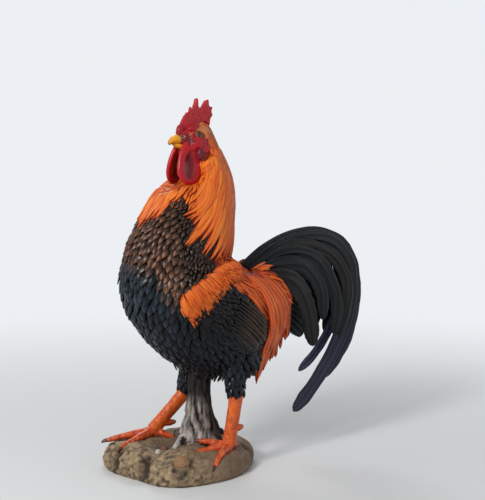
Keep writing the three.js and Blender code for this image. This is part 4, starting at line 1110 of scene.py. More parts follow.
# Flight feathers: the brown striped ends that show below the coverts, each lapping the one beneath
def flight(word, side):
    sheaf = Sheaf()
    count, steps = 12, 30
    paths = []
    for k in range(count):
        t = k / (count - 1)
        start = np.array([np.interp(t, [0, 1], [-2, 14]), np.interp(t, [0, 1], [-14, 30])])
        end = np.array([np.interp(t, [0, 1], [46, 70]), np.interp(t, [0, 1], [-50, -19])])
        wave = rng.normal(0, 0.8)
        end = end + rng.normal(0, 1.2, 2)
        path = []
        for s in np.linspace(0, 1, 7):
            x, z = start + (end - start) * s + np.array([0, 3.0 + wave]) * math.sin(math.pi * s)
            hit = skin.tree.ray_cast(Vector(DATUM + (x, side * 120, z)), Vector((0, -side, 0)))
            path.append(np.array(hit[0]) if hit[0] is not None else path[-1] + (8, 0, -6))
        paths.append(np.array(path) + (0, side * 0.3 * k, 0))
    spine = np.stack([curve(path, steps) for path in paths])
    _, normals = skin.settle(spine)
    u = np.linspace(0, 1, steps)
    half = np.full((count, 1), 2.9) * np.interp(u, [0, 0.2, 0.92, 1], [0.7, 1, 0.85, 0.2])

    def shingle(u, v):
        lower = (1 + v * side) / 2
        shaft = 0.25 * np.exp(-((v / 0.1) ** 2)) * np.ones_like(u)
        return (0.25 + 0.85 * lower) * (1 - np.abs(v) ** 8) + shaft

    def paint(u, v):
        lower = v * side
        rim = ease(0.2, 0.5, lower) * ease(0.05, 0.4, u)
        shaft = np.exp(-((v / 0.12) ** 2)) * np.ones_like(u)
        tone = blend(blend(ink(18, 15, 14), ink(74, 53, 38), rim), ink(48, 38, 31), 0.6 * shaft)
        return np.broadcast_to(tone[None], (count, *tone.shape))

    crown = np.full((count, steps), 1.9)
    under = np.full((count, steps), 1.2)
    blades(sheaf, spine, normals, half, crown, under, across=13, profile=shingle, paint=paint)
    sheaf.make(f"{word}_flight_feathers", SCALE_PAINT, "black_plumage", f"{word}_wing")


# Mantle: strands over the back, which part to both sides and run down over the rump
MANTLE_GAP = 5.2
MANTLE_LOW = -40


def mantle(word, side):
    sheaf = Sheaf()
    rel = candidates - DATUM
    below = ~on_hackle(rel - TUCK) & (rel[:, 2] > MANTLE_LOW)
    starts = rel[on_back(rel - 0.5 * TUCK) & (rel[:, 1] * side > -1) & below]
    starts = starts[thinned(starts, MANTLE_GAP)]

    def way(p):
        wx = np.interp(p[0], [0, 40, 65, 90, 112], [0.9, 0.8, 0.5, 0.3, 0.15])
        top = ease(45, 15, abs(p[1]))
        return np.array([wx + 0.5 * top, side * (0.12 + 0.3 * top), -1 + 0.55 * top])

    def lay(places, lengths, widths, stand):
        paths = [walk(DATUM + p, way, rng.uniform(*lengths), 9) for p in places]
        count = len(paths)
        mid = choice(count, [SADDLE_RED, ORANGE, BURNT])
        light = choice(count, [YELLOW, GOLD, GOLD])
        dark = same(RUST, count)
        strands(sheaf, paths, rng.uniform(*widths, count), rng.uniform(1.3, 1.9, count),
                streaked(dark, mid, light, rng.uniform(0.1, 0.8, count)), steps=20, surface=skin, stand=stand,
                lift=rng.normal(0, 0.3, count))

    lay(starts, (30, 42), (2.0, 2.9), (-1.0, 0.4, 1.0))
    lapping = (starts[:, 0] > 4) & (starts[:, 0] < 66) & (starts[:, 2] > 34) & (np.abs(starts[:, 1]) > 26)
    lay(starts[lapping], (34, 50), (1.9, 2.6), (-1.2, 2.4, 5.0))
    sheaf.make(f"{word}_mantle", PLUME_PAINT, "orange_plumage")


# Saddle: locks that run from the back over the rump and hang free at their ends
STATIONS = np.array([
    (-118, 62, 50, 6), (-113, 82, 26, 26), (-100, 102, -4, 47), (-77, 115, -33, 63), (-46, 113, -59, 73),
    (-12, 98, -74, 77), (22, 81, -77, 75), (54, 69, -72, 67), (84, 60, -54, 53), (104, 48, -30, 37),
    (116, 30, -4, 18), (120, 18, 8, 5),
], float)
SADDLE_PATHS = [
    [(12, 65, -4), (44, 50, -1), (62, 22, 3), (68, -14, 4), (64, -52, 8), (54, -95, 40)],
    [(24, 61, -4), (56, 48, -1), (77, 18, 3), (86, -16, 4), (84, -44, 8), (76, -67, 36)],
    [(36, 58, -4), (68, 46, -1), (89, 16, 3), (99, -14, 6), (99, -42, 16), (93, -66, 30)],
    [(48, 55, -4), (80, 44, -1), (101, 20, 4), (111, -8, 10), (109, -44, 26)],
    [(54, 55, -4), (86, 50, 0), (106, 33, 6), (114, 11, 14)],
    [(56, 58, -4), (82, 57, 0), (103, 44, 9)],
]
# Tufts on the saddle's rear edge: root and tip, each as along, standing off, up
TUFTS = [((58, 22, 56), (86, 31, 65)), ((70, 30, 49), (99, 39, 43)), ((77, 33, 40), (105, 42, 28)),
         ((84, 36, 30), (109, 44, 14))]
LOCK_STRANDS = 5
SADDLE_POINTS = 60  # along each path
LAST_PATH = len(SADDLE_PATHS) - 1


def flank(side, x, z, out):
    """A place standing off the body's flank."""
    top, bottom, half = (np.interp(x, STATIONS[:, 0], STATIONS[:, k]) for k in (1, 2, 3))
    rise = min(1, abs(z - (top + bottom) / 2) / ((top - bottom) / 2))
    return DATUM + (x, side * (half * math.sqrt(1 - rise * rise) + out), z)


def saddle(word, side):
    sheaf = Sheaf()
    mains = np.stack([curve([flank(side, *p) for p in path], SADDLE_POINTS) for path in SADDLE_PATHS])
    outward = unit(np.array([0.1, side, 0.12]))

    def along(t, share):
        """A place on the saddle: t from its inner plume to its last, share from root to tip."""
        t = np.clip(t, -0.5, LAST_PATH - 0.001)
        k = max(0, int(t))
        path = mains[k] + (mains[k + 1] - mains[k]) * (t - k)
        return path[int(np.clip(share, 0, 1) * (SADDLE_POINTS - 1))]

    beds = np.linspace(0, LAST_PATH, 11)
    shares = np.linspace(0.12, 0.98, 14)
    bed_paths = [np.array([along(middle, s) for s in shares]) - outward * 1.4 for middle in beds]
    dim = same(ink(190, 72, 30), len(beds))
    strands(sheaf, bed_paths, np.where(np.arange(len(beds)) % 2 == 0, 7.5, 5.5), 2.0,
            streaked(same(SADDLE_SHADE, len(beds)), dim, dim * 1.3, np.full(len(beds), 0.6)),
            steps=30, across=9, normals=outward, under=2.0, stand=(-2, 0, 0), sharp=9)
    layers = [(0.2, 1.0, 11, 1.5), (0.05, 0.82, 12, 3.0), (0.0, 0.64, 11, 4.2)]
    for first, last, locks, out in layers:
        paths = []
        for middle in np.linspace(0, LAST_PATH, locks) + rng.normal(0, 0.07, locks):
            end = min(1.0, last * rng.uniform(0.93, 1.03))
            begin = max(0.0, first + rng.uniform(-0.05, 0.05))
            for k in range(LOCK_STRANDS):
                off = k - LOCK_STRANDS // 2
                part = off * 0.15 + rng.normal(0, 0.02)
                stop = end - 0.035 * abs(off) - rng.uniform(0, 0.05)
                shares = np.linspace(begin, stop, 12)
                close = 1 - 0.7 * ease(begin + 0.55 * (stop - begin), stop, shares)
                rise = out * ease(begin, begin + 0.25, shares) - 1.5 + 0.4 * (2 - abs(off))
                paths.append(np.array([along(middle + part * c, s) for c, s in zip(close, shares)])
                             + outward * rise[:, None])
        count = len(paths)
        mid = choice(count, [SADDLE_RED, SADDLE_LIGHT, ink(184, 64, 28)])
        light = choice(count, [AMBER, ink(228, 112, 40)])
        dark = same(ink(124, 40, 22), count)
        strands(sheaf, paths, rng.uniform(2.9, 3.9, count), rng.uniform(1.6, 2.3, count),
                streaked(dark, mid, light, rng.uniform(0.1, 0.9, count)),
                steps=22, normals=outward, under=1.6, stand=(0, 0, 0), sharp=5)
    tufts = []
    for root, tip in TUFTS:
        for k in range(LOCK_STRANDS):
            off = k - LOCK_STRANDS // 2
            fan = off * np.array([1.0, 0, -2.4])
            end = np.array(tip) + fan - (4.0 * abs(off), 0, 0) + rng.normal(0, 0.8, 3)
            middle = 0.45 * np.array(root) + 0.55 * end + (0, 2, 2.5)
            tufts.append([DATUM + p * (1, side, 1) for p in (root + 0.6 * fan, middle, end)])
    count = len(tufts)
    strands(sheaf, tufts, rng.uniform(2.4, 3.2, count), 1.8,
            streaked(same(SADDLE_SHADE, count), choice(count, [SADDLE_RED, SADDLE_LIGHT]),
                     choice(count, [AMBER]), rng.uniform(0.2, 0.9, count)),
            steps=16, normals=outward, under=1.4, stand=(0, 0, 0))
    sheaf.make(f"{word}_saddle_plumes", PLUME_PAINT, "orange_plumage", f"{word}_saddle")


STUMP_X = 29.0

# Fluff: black feathers that hang from the belly round the stump
FLUFF_RINGS = [(36, 30), (30, 28), (25, 24), (21, 18)]  # radius, number of feathers


def fluff():
    sheaf = Sheaf()
    paths = []
    for ring, (radius, count) in enumerate(FLUFF_RINGS):
        for k in range(count):
            a = 2 * math.pi * (k + 0.5 * (ring % 2)) / count + rng.normal(0, 0.05)
            foot = np.array([STUMP_X + radius * math.cos(a), radius * math.sin(a), 60])
            hit = skin.tree.ray_cast(Vector(foot), Vector((0, 0, 1)))
            if hit[0] is None:
                continue
            top = np.array(hit[0]) + (0, 0, 4)
            inward = np.array([-math.cos(a), -math.sin(a), 0])
            fall = rng.uniform(6, 20)
            paths.append([top, top + inward * 1.5 - (0, 0, 0.5 * fall), top + inward * 5 - (0, 0, fall)])
    count = len(paths)
    normals = np.array([[p[0][0] - STUMP_X, p[0][1], 0] for p in paths])
    dark = same(BLACK * 0.6, count)
    mid = choice(count, [BLACK, BLACK * 1.3])
    strands(sheaf, paths, rng.uniform(4.2, 5.6, count), 1.8,
            streaked(dark, mid, mid * 2.2, rng.uniform(0.2, 1, count)),
            normals=unit(normals)[:, None], across=7, stand=(0, 0, 0))
    sheaf.make("belly_fluff", SCALE_PAINT, "black_plumage", "body_shell")


for word, side in SIDES:
    hackle(word, side)
    shoulder(word, side)
    flight(word, side)
    mantle(word, side)
    saddle(word, side)
fluff()


# Tail
def arch(path, spread_y, side, count):
    """Points of a tail feather from its path in the XZ plane and its distance from the middle."""
    flat = curve(path, count)
    y = np.interp(np.linspace(0, 1, count), np.linspace(0, 1, len(spread_y)), spread_y)
    return DATUM + np.stack([flat[:, 0], side * y, flat[:, 1]], axis=1)


MAIN_PATH = [
    (58, 58), (100, 83), (150, 97), (192, 89), (217, 61), (222, 22), (213, -22), (193, -64), (163, -107),
    (129, -144),
]
LIFT = 50  # how much higher the right main sickle's tip is
RIGHT_MAIN = [
    (x + 0.5 * LIFT * (i / 9) ** 3, z + LIFT * (i / 9) ** 3) for i, (x, z) in enumerate(MAIN_PATH)
]
# Tail feathers: half-width, distance from the middle from root to tip, path
TAIL = {
    "second_sickle": (14, [2, 4, 7, 9, 9], [
        (56, 60), (94, 84), (140, 99), (188, 98), (220, 75), (233, 38), (231, -6), (217, -52), (185, -102),
    ]),
    "main_sickle": (14.5, [6, 10, 15, 16, 14], MAIN_PATH),
    "first_lesser_sickle": (12, [8, 14, 20, 21.5, 20], [
        (60, 56), (103, 81), (135, 89), (168, 83), (193, 68), (208, 45), (213, 20), (210, -8), (200, -40),
    ]),
    "second_lesser_sickle": (13.5, [10, 19, 26, 27, 26], [
        (62, 55), (84, 68), (116, 80), (151, 74), (177, 47), (192, 4), (188, -38),
    ]),
    "third_lesser_sickle": (13, [14, 24, 31, 32.5, 31], [
        (66, 52), (96, 64), (128, 64), (150, 48), (164, 20), (167, -15),
    ]),
    "tail_covert": (16, [18, 28, 35, 37, 37], [
        (72, 46), (98, 50), (119, 41), (133, 18), (142, -14), (147, -49),
    ]),
}
TAIL_STEPS, TAIL_ACROSS = 110, 33  # points along and across a tail feather


def furrows(u, v, seed):
    """1 on the uneven lengthwise ribs of a tail feather, -1 in the furrows between them."""
    wander = grain(np.stack(np.broadcast_arrays(9 * u, 1.5 * v + seed, 0 * u), axis=-1), 2.0, 2)
    wide = np.cos(2.3 * math.pi * v + 3.2 * wander + seed)
    fine = np.cos(11 * math.pi * v + 7 * wander)
    return np.clip(0.6 * wide + 0.45 * fine * ease(-0.2, 0.5, wander), -1, 1)


def sickle_profile(seed):
    def profile(u, v):
        shaft = 0.4 * np.exp(-((v / 0.06) ** 2)) * (1 - 0.5 * u)
        return np.sqrt(np.clip(1 - v**2, 0, 1)) * 0.85 + 0.2 * furrows(u, v, seed) * (1 - v**2) + shaft
    return profile


def sickle_paint(pale_tip, pale, tint, seed):
    def paint(u, v):
        # Painted highlight: the raised ribs are painted lighter in the tint, while the furrows stay black
        rib = 0.5 + 0.5 * furrows(u, v, seed)
        tone = blend(TAIL_BLACK, tint, 0.8 * rib**2)
        end = ease(0.55, 0.82, u) * pale_tip * np.ones_like(v)
        return blend(tone, blend(0.3 * pale, pale, rib), end)[None]
    return paint


def tail_feather(word, side, kind, tint):
    width, spread_y, path = TAIL[kind]
    seed = 1.7 * len(kind) + side
    if kind == "main_sickle" and side == RIGHT:
        path = RIGHT_MAIN
    spine = arch(path, spread_y, side, TAIL_STEPS)[None]
    u = np.linspace(0, 1, TAIL_STEPS)
    blunt = 0.06 if kind == "main_sickle" else 0.16
    tip = np.sqrt(np.clip(1 - np.clip((u - 1 + blunt) / blunt, 0, 1) ** 2, 0.004, 1))
    half = width * np.minimum(1, 0.5 + 1.6 * u) * tip * (1 - 0.27 * u)
    ragged = grain(np.stack([u * 31, np.full_like(u, side * 3.0 + width), u * 0], axis=1), 1.2, 3)
    if kind == "main_sickle" and side == RIGHT:
        half = half * (1 - 0.34 * ease(0.45, 0.75, u))
    half = half * (1 + 0.13 * ragged * ease(0.15, 0.4, u))
    normal = np.broadcast_to(np.array([0.0, side, 0.0]), spine.shape)
    crown = np.full((1, TAIL_STEPS), 2.6) * (0.4 + 0.6 * tip)
    sheaf = Sheaf()
    pale_tip = {"main_sickle": 1.0, "second_sickle": 0.6}.get(kind, 0.0)
    # The pale ends are painted 2.0 times as light on the right, as painted light against the shade that falls
    # on them there, and 0.55 times as light on the left
    pale = TAIL_VIOLET * (2.0 if side == RIGHT else 0.55)
    paint = sickle_paint(pale_tip, pale, tint, seed)
    profile = sickle_profile(seed)
    blades(sheaf, spine, normal, half[None], crown, crown, TAIL_ACROSS, profile, paint, both=True)
    sheaf.make(f"{word}_{kind}_vane", TAIL_PAINT, "tail_black", f"{word}_{kind}")


for word, side in SIDES:
    for number, kind in enumerate(TAIL):
        tail_feather(word, side, kind, [TAIL_HIGHLIGHT, ink(34, 39, 45), ink(44, 39, 34)][number % 3])


FAN_ROOT = np.array([50.0, 0.0, 58.0])


def fan():
    """Straight tail feathers in the middle, lapping each other like a hand of cards."""
    mesh, points, normals = moulded([copy_of("tail_fan")], voxel=1.3, rounds=5)
    rel = points - DATUM - FAN_ROOT
    angle = np.degrees(np.arctan2(rel[:, 2], rel[:, 0]))
    reach = np.hypot(rel[:, 0], rel[:, 2])
    lap = ((angle + 0.05 * reach + 3 * grain(points, 30, 2)) / 13) % 1
    ribs = np.sin(angle * 1.9 + 2 * grain(points, 20, 2))
    side_face = np.abs(normals[:, 1])
    shape = (1.6 * (lap - 0.5) + 0.5 * ribs) * side_face * ease(10, 40, reach)
    # Painted highlight: lighter where the laps and ribs stand out
    tone = blend(TAIL_BLACK, TAIL_HIGHLIGHT, np.clip(0.5 * lap + 0.3 * ribs, 0, 1))
    finish_form(mesh, "tail_fan_vanes", points + normals * shape[:, None], tone, TAIL_PAINT, "tail_black",
                "tail_fan")


fan()

# Head
# Lumps that round the face, on each side and in the middle: place from the head's datum, half-axes
CHEEK_LUMPS = [
    ((-4, 15, -15), (14, 9, 13)), ((6, 16, -24), (12, 8, 12)), ((-6, 13.5, 5), (12, 4.5, 5.5)),
    ((-12, 9, -22), (9, 7, 9)),
]
MIDDLE_LUMPS = [((-13, 0, -9), (9, 11, 11)), ((2, 0, 9), (22, 9, 8))]
# The line that the tan feathers of the head come down to, by distance along it
TAN_TO = [(-18, -4), (-16, -4.5), (-13, -0.7), (-5, 2.2), (2, 0), (4.5, -6.5), (11, -9), (15, -17), (20, -22)]


def face():
    forms = [hull(node_points("head"))]
    for y in (LEFT, RIGHT):
        forms += [lump(at_head((p[0], p[1] * y, p[2])), radii, HEAD_TURN) for p, radii in CHEEK_LUMPS]
    forms += [lump(at_head(p), radii, HEAD_TURN) for p, radii in MIDDLE_LUMPS]
    mesh, points, normals = moulded(forms, voxel=0.9, rounds=8)
    local = from_head(points)
    x, z = local[:, 0], local[:, 2]
    wrinkle = grain(points * (1, 1, 1.8), 3.2, 3) * 0.8 + grain(points, 1.3, 2) * 0.25
    eye_gap = np.hypot(x + 5, z + 3)
    rings = 0.35 * np.sin(eye_gap * 2.6) * ease(16, 8, eye_gap)
    tan_line = np.interp(x, *zip(*TAN_TO))
    tan = ease(-1.0, 1.0, z - tan_line + 1.2 * grain(points, 5))
    red_top = ease(-1.0, 1.0, z + 2 - 0.7 * (x + 16)) * ease(12, 9, x)
    moved = points + normals * ((wrinkle * 0.9 + rings) * (1 - 0.7 * tan))[:, None]
    # Painted shade and highlight: maroon in the hollows of the wrinkles, and on the tan a little lighter on
    # their ridges and darker in their hollows
    tone = blend(CRIMSON, MAROON, ease(0.0, 0.9, -wrinkle))
    tone = blend(tone, blend(TAN, NAPE, ease(2, 16, x)) * (1 + 0.2 * wrinkle)[:, None], tan)
    tone = blend(tone, CRIMSON * 0.8, red_top)
    lore = np.hypot(x + 20, (z + 9) * 0.8)
    tone = blend(tone, MAROON * 0.8, ease(9, 4, lore) * 0.85)
    finish_form(mesh, "face", moved, tone, FLESH_PAINT, "comb_red", "head")


def comb():
    brow = lump(at_head((-20, 0, 1)), (6.5, 5, 10), HEAD_TURN)
    mesh, points, normals = moulded([copy_of("comb"), brow], voxel=0.8, rounds=12)
    local = from_head(points)
    pebble = grain(points, 3.2, 3)
    swell = 1.4 * ease(32, 6, local[:, 2]) - 0.3
    moved = points + normals * (0.45 * pebble + swell)[:, None]
    shaded = np.clip(ease(0, 0.8, -pebble) * 0.25 + ease(14, 2, local[:, 2]) * 0.5, 0, 1)
    tone = blend(ink(170, 18, 32), MAROON, shaded)
    # Painted highlight: the upper spikes painted brighter
    tone = blend(tone, ink(198, 46, 50), ease(26, 46, local[:, 2]) * 0.6)
    finish_form(mesh, "comb_flesh", moved, tone, FLESH_PAINT, "comb_red", "comb")


def beak(name, path, width, depth, node, hook):
    sheaf = Sheaf()
    count = 60
    spine = at_head(curve([(x, 0, z) for x, z in path], count))
    u = np.linspace(0, 1, count)
    size = 0.04 + 0.96 * np.sqrt(np.clip(1 - u**1.7, 0, 1))
    radii = np.stack([width * size, depth * size], axis=1)

    def dent(u, angle, points):
        local = from_head(points)
        nostril = np.exp(-(((local[..., 0] + 25) / 2.2) ** 2) - (((local[..., 2] + 7.5) / 1.1) ** 2))
        ridge = 0.8 * np.exp(-(((angle - math.pi / 2) / 0.35) ** 2)) * (1 - u)
        return (ridge - 1.0 * nostril) * hook + 0.06 * np.sin(70 * u) * ease(0.2, 0.5, u) * ease(1, 0.6, u)

    def paint(u, angle, points):
        # Painted highlight along the upper side
        tone = blend(BEAK, ink(236, 172, 52), 0.5 * np.clip(np.sin(angle), 0, 1) * np.ones_like(u))
        tone = blend(tone, ink(150, 84, 24), ease(0.75, 1, u) * np.ones_like(angle) * 0.6)
        local = from_head(points)
        root = np.clip(-29 - 0.82 * (local[..., 2] + 2), -29, -20)
        return blend(tone, MAROON * 0.8, ease(-1.2, 1.2, local[..., 0] - root) * 0.85)

    tube(sheaf, spine, radii, around=40, dent=dent, paint=paint)
    sheaf.make(name, HORN_PAINT, "beak_yellow", node)


def wattle(word, side):
    """A hanging lobe, dished on its outer face, with a thick rolled rim."""
    steps = 46
    path = [(-12, 10, -12), (-18, 15.5, -38), (-21, 19, -67)]
    spine = at_head(curve([(x, side * y, z) for x, y, z in path], steps))[None]
    u = np.linspace(0, 1, steps)
    swell = 0.42 + 0.58 * np.sin(math.pi * np.minimum(1, 0.08 + 0.6 * u))
    tip = np.sqrt(np.clip(1 - np.clip((u - 0.66) / 0.34, 0, 1) ** 2, 0.0015, 1))
    half = (16.5 * swell * tip)[None]
    splay = math.radians(20)  # the lobe's back edge stands outward
    normal = np.broadcast_to(TURN @ np.array([-math.sin(splay), side * math.cos(splay), 0.0]), spine.shape)
    crown = (4.6 * np.maximum(0.1, tip))[None]

    def profile(u, v):
        rim = np.clip(1 - v**2, 0, 1) ** 0.35
        dish = 0.85 * np.exp(-((v / 0.5) ** 2)) * ease(0.15, 0.4, u) * ease(0.97, 0.75, u)
        return rim - dish + 0.05 * np.sin(9 * v + 14 * u) * (1 - v**2)

    def paint(u, v):
        # Painted shade in the dish, and a painted highlight round the rim
        dish_shade = np.exp(-((v / 0.5) ** 2)) * ease(0.15, 0.4, u) * ease(0.98, 0.8, u)
        tone = blend(CRIMSON, MAROON * 0.55, 0.9 * dish_shade)
        return blend(tone, ink(196, 44, 50), ease(0.72, 0.95, np.abs(v)) * np.ones_like(u) * 0.35)[None]

    sheaf = Sheaf()
    blades(sheaf, spine, normal, half, crown, crown, across=25, profile=profile, paint=paint, both=True)
    sheaf.make(f"{word}_wattle_lobe", FLESH_PAINT, "comb_red", f"{word}_wattle")


EYE_RADIUS = 6.0
EYE_POLE = 0.03  # radians from the middle to the first ring
EYE_POINTS, LID_POINTS = 48, 72


def eye(word, side):
    """Eyeball with a dark pupil in an amber iris, and a wrinkled lid round it."""
    low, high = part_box(f"{word}_eye")
    centre = (np.array(low) + np.array(high)) / 2 / MM
    look = unit(TURN @ np.array([-0.25, side, 0.02]))
    sheaf = Sheaf()
    t = np.linspace(EYE_POLE, math.pi - EYE_POLE, EYE_POINTS)
    spine = centre - look * (EYE_RADIUS * np.cos(t))[:, None]
    ring = pairs(EYE_RADIUS * np.sin(t))

    def paint(u, angle, points):
        out = (points - centre) @ look / EYE_RADIUS
        spoke = 0.5 + 0.5 * np.sin(angle * 22)
        tone = blend(ink(176, 104, 36), ink(214, 150, 72), 0.6 * spoke * np.ones_like(u))
        tone = blend(tone, ink(12, 9, 8), ease(0.84, 0.88, out))
        return blend(tone, ink(46, 20, 14), ease(0.72, 0.66, out))

    tube(sheaf, spine, ring, around=40, dent=even, paint=paint)
    sheaf.make(f"{word}_eyeball", EYE_PAINT, "eye_amber", f"{word}_eye")
    lids = Sheaf()
    a = np.linspace(0, 2 * math.pi, LID_POINTS)
    across = unit(np.cross(look, (0, 0, 1)))
    up = np.cross(across, look)
    loop = centre + look * (EYE_RADIUS * 0.66) + EYE_RADIUS * 0.8 * (
        np.cos(a)[:, None] * across * 1.06 + np.sin(a)[:, None] * up * 0.86
    )
    fat = np.full((LID_POINTS, 2), 1.4) + 0.3 * np.sin(a)[:, None]

    def lid_folds(u, angle, points):
        return 0.12 * np.sin(150 * u) * np.ones_like(angle)

    def lid_paint(u, angle, points):
        return blend(ink(140, 44, 36), MAROON, 0.5 + 0.5 * np.sin(31 * u) * np.ones_like(angle))

    tube(lids, loop, fat, around=14, dent=lid_folds, paint=lid_paint, thin=look)
    lids.make(f"{word}_eyelid", FLESH_PAINT, "comb_red")


def ear_lobe(word):
    """Wrinkled drop-shaped lobe behind the cheek."""
    low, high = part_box(f"{word}_ear_lobe")
    centre = (np.array(low) + np.array(high)) / 2 / MM
    forms = [hull(node_points(f"{word}_ear_lobe"))]
    forms.append(lump(centre + (-0.5, 0, -4), (5, 4.5, 6.5), HEAD_TURN))
    mesh, points, normals = moulded(forms, voxel=0.7, rounds=4)
    folds = grain(points * (1.6, 1.6, 1), 2.4, 3)
    # Painted shade: darker in the hollows of the folds
    tone = blend(ink(112, 14, 30), MAROON * 0.6, ease(-0.3, 0.5, -folds))
    finish_form(mesh, f"{word}_ear_lobe_flesh", points + normals * (0.7 * folds - 0.9)[:, None], tone,
                FLESH_PAINT, "comb_red", f"{word}_ear_lobe")


face()
comb()
UPPER_BEAK = [(-7, -8), (-22, -7.5), (-33, -9.5), (-40, -15)]
LOWER_BEAK = [(-7, -16.5), (-22, -16.8), (-34, -14.4)]
beak("upper_beak_horn", UPPER_BEAK, width=9.0, depth=7.4, node="upper_beak", hook=1)
beak("lower_beak_horn", LOWER_BEAK, width=7.6, depth=4.8, node="lower_beak", hook=0)
for word, side in SIDES:
    wattle(word, side)
    eye(word, side)
    ear_lobe(word)

# Legs
CROWN = np.array([0.0, 0.0, 36.0])
LEGS = {
    "left": ((50, -44, 0), (23, -44, -103), (0.34, 9, 1),
             [(-54, 4, -5), (-40, 21, 7), (-42, -37, -18), (15, 5, -2)]),
    "right": ((-21, 46, 8), (-9, 44, -111), (0.2, 16, -2),
              [(-66, 22, -12), (-61, -22, -14), (-44, 36, -14), (28, -18, -10)]),
}
SHANK_DEPTH, SHANK_BREADTH = 9.2, 7.4
TOE_ROOT, TOE_END = 6.8, 3.3
TOE_SINK = 1.4  # how far the toes bed down, so that they meet the rock
CLAW_FROM = 0.87
TOE_POINTS, SHANK_POINTS, SPUR_POINTS = 110, 150, 40
TOE_SHARE = 0.92  # of a toe's path that is covered by skin


def hide(points, size):
    """Fine cast skin: soft lengthwise cords broken by small dimples."""
    cords = grain(points * (1, 1, 0.35), size, 2)
    dimples = ease(0.25, 0.6, grain(points + 70, 0.55 * size, 1))
    return 0.7 * cords - 0.5 * dimples


def toe(sheaf, ankle, tip, shade, arch_height):
    """A jointed toe that arches from the ankle to the rock, with a short claw."""
    knuckle = ankle + (tip - ankle) * 0.55 + (0, 0, arch_height)
    path = curve([ankle, knuckle, tip], TOE_POINTS) - (0, 0, TOE_SINK)
    foot = path[: int(TOE_POINTS * TOE_SHARE)]
    t = np.linspace(0, TOE_SHARE, len(foot))
    size = TOE_END + (TOE_ROOT - TOE_END) * (1 - t) ** 1.6
    size = size * (1 + 0.1 * np.sin(math.pi * 6 * t) * (1 - t))
    size = size * np.sqrt(np.clip(1 - np.clip((t - 0.82) / 0.1, 0, 1) ** 2, 0.02, 1))

    def relief(u, angle, points):
        return hide(points, 4.0) * (1 - 0.3 * u)

    def skin_paint(u, angle, points):
        # Painted highlight on the top of the raised relief, and painted shade in its hollows
        top = np.clip(np.sin(angle), 0, 1) * np.ones_like(u)
        shading_relief = hide(points, 4.0)
        tone = blend(ink(206, 80, 30), TOE_RIDGE_HIGHLIGHT, 0.45 * top * ease(-0.1, 0.4, shading_relief))
        return blend(tone, ink(128, 44, 22), ease(0.0, -0.5, shading_relief) * 0.6)

    tube(sheaf, foot, pairs(size), around=26, dent=relief, paint=skin_paint)
    nail = path[int(TOE_POINTS * CLAW_FROM):]
    drop = np.linspace(0, 1, len(nail))
    nail = nail + np.stack([0 * drop, 0 * drop, 1.2 * np.sin(math.pi * drop) - 1.2 * drop], axis=1)
    size = 2.8 * (0.12 + 0.88 * np.sqrt(np.clip(1 - drop**1.8, 0, 1)))

    def nail_paint(u, angle, points):
        # Painted highlight along the claw's upper side
        return blend(shade, shade * 1.8, 0.5 * np.clip(np.sin(angle), 0, 1) * (1 - u))

    tube(sheaf, nail, pairs(size), around=18, dent=even, paint=nail_paint)


def leg(word):
    ankle_at, hock_at, (spur_at, spur_length, spur_rise), toes = LEGS[word]
    ankle, hock = CROWN + ankle_at, DATUM + hock_at
    sheaf = Sheaf()
    rise = unit(hock - ankle)
    foot, top = ankle - rise * 4, hock + rise * 10
    u = np.linspace(0, 1, SHANK_POINTS)
    spine = foot + (top - foot) * u[:, None]
    flare = 1.06 + 0.1 * np.maximum(0, 1 - u / 0.2) - 0.06 * np.sin(math.pi * np.minimum(1, u / 0.8))
    flare = flare * np.sqrt(np.clip(u / 0.07, 0.02, 1))
    radii = np.stack([SHANK_DEPTH * flare, SHANK_BREADTH * flare], axis=1)

    def shank_dent(u, angle, points):
        return 0.3 * np.cos(3 * angle + 0.4) + 0.8 * hide(points, 5.0)

    def shank_paint(u, angle, points):
        # Painted shade in the hollows of the relief
        shading_relief = hide(points, 5.0)
        tone = blend(LEG, ink(150, 52, 22), ease(0.0, -0.6, shading_relief) * 0.7)
        tone = blend(tone, ink(238, 134, 56), np.clip(grain(points, 7, 2), 0, 1) * 0.6)
        return blend(tone, ink(176, 62, 26), ease(0.14, 0.0, u) * np.ones_like(angle) * 0.4)

    tube(sheaf, spine, radii, around=44, dent=shank_dent, paint=shank_paint, thin=(0, 1, 0))
    for number, reach in enumerate(toes):
        near_front = word == "left" and number == 2
        shade = ink(52, 36, 30) if near_front else CLAW
        arch_height = 5.5 if near_front else 1.6
        toe(sheaf, ankle, ankle + np.array(reach, float), shade, arch_height)
    root = ankle + (hock - ankle) * spur_at
    spur_tip = root + (spur_length + SHANK_DEPTH, 0, spur_rise)
    path = curve([root, root + (spur_tip - root) * 0.55 + (0, 0, -0.8), spur_tip], SPUR_POINTS)
    t = np.linspace(0, 1, SPUR_POINTS)
    size = 5.6 * (0.1 + 0.9 * np.sqrt(np.clip(1 - t**2.4, 0, 1)))

    def spur_dent(u, angle, points):
        return 0.4 * hide(points, 4.0)

    def spur_paint(u, angle, points):
        return blend(ink(196, 74, 30), ink(120, 104, 96), ease(0.7, 0.95, u) * np.ones_like(angle))

    tube(sheaf, path, pairs(size), around=24, dent=spur_dent, paint=spur_paint)
    sheaf.make(f"{word}_leg_scutes", LEG_PAINT, "leg_orange", f"{word}_leg")


for word, _ in SIDES:
    leg(word)

# Stump and rock
ROD_ROOM = 7  # round the stud through the stump, left plain


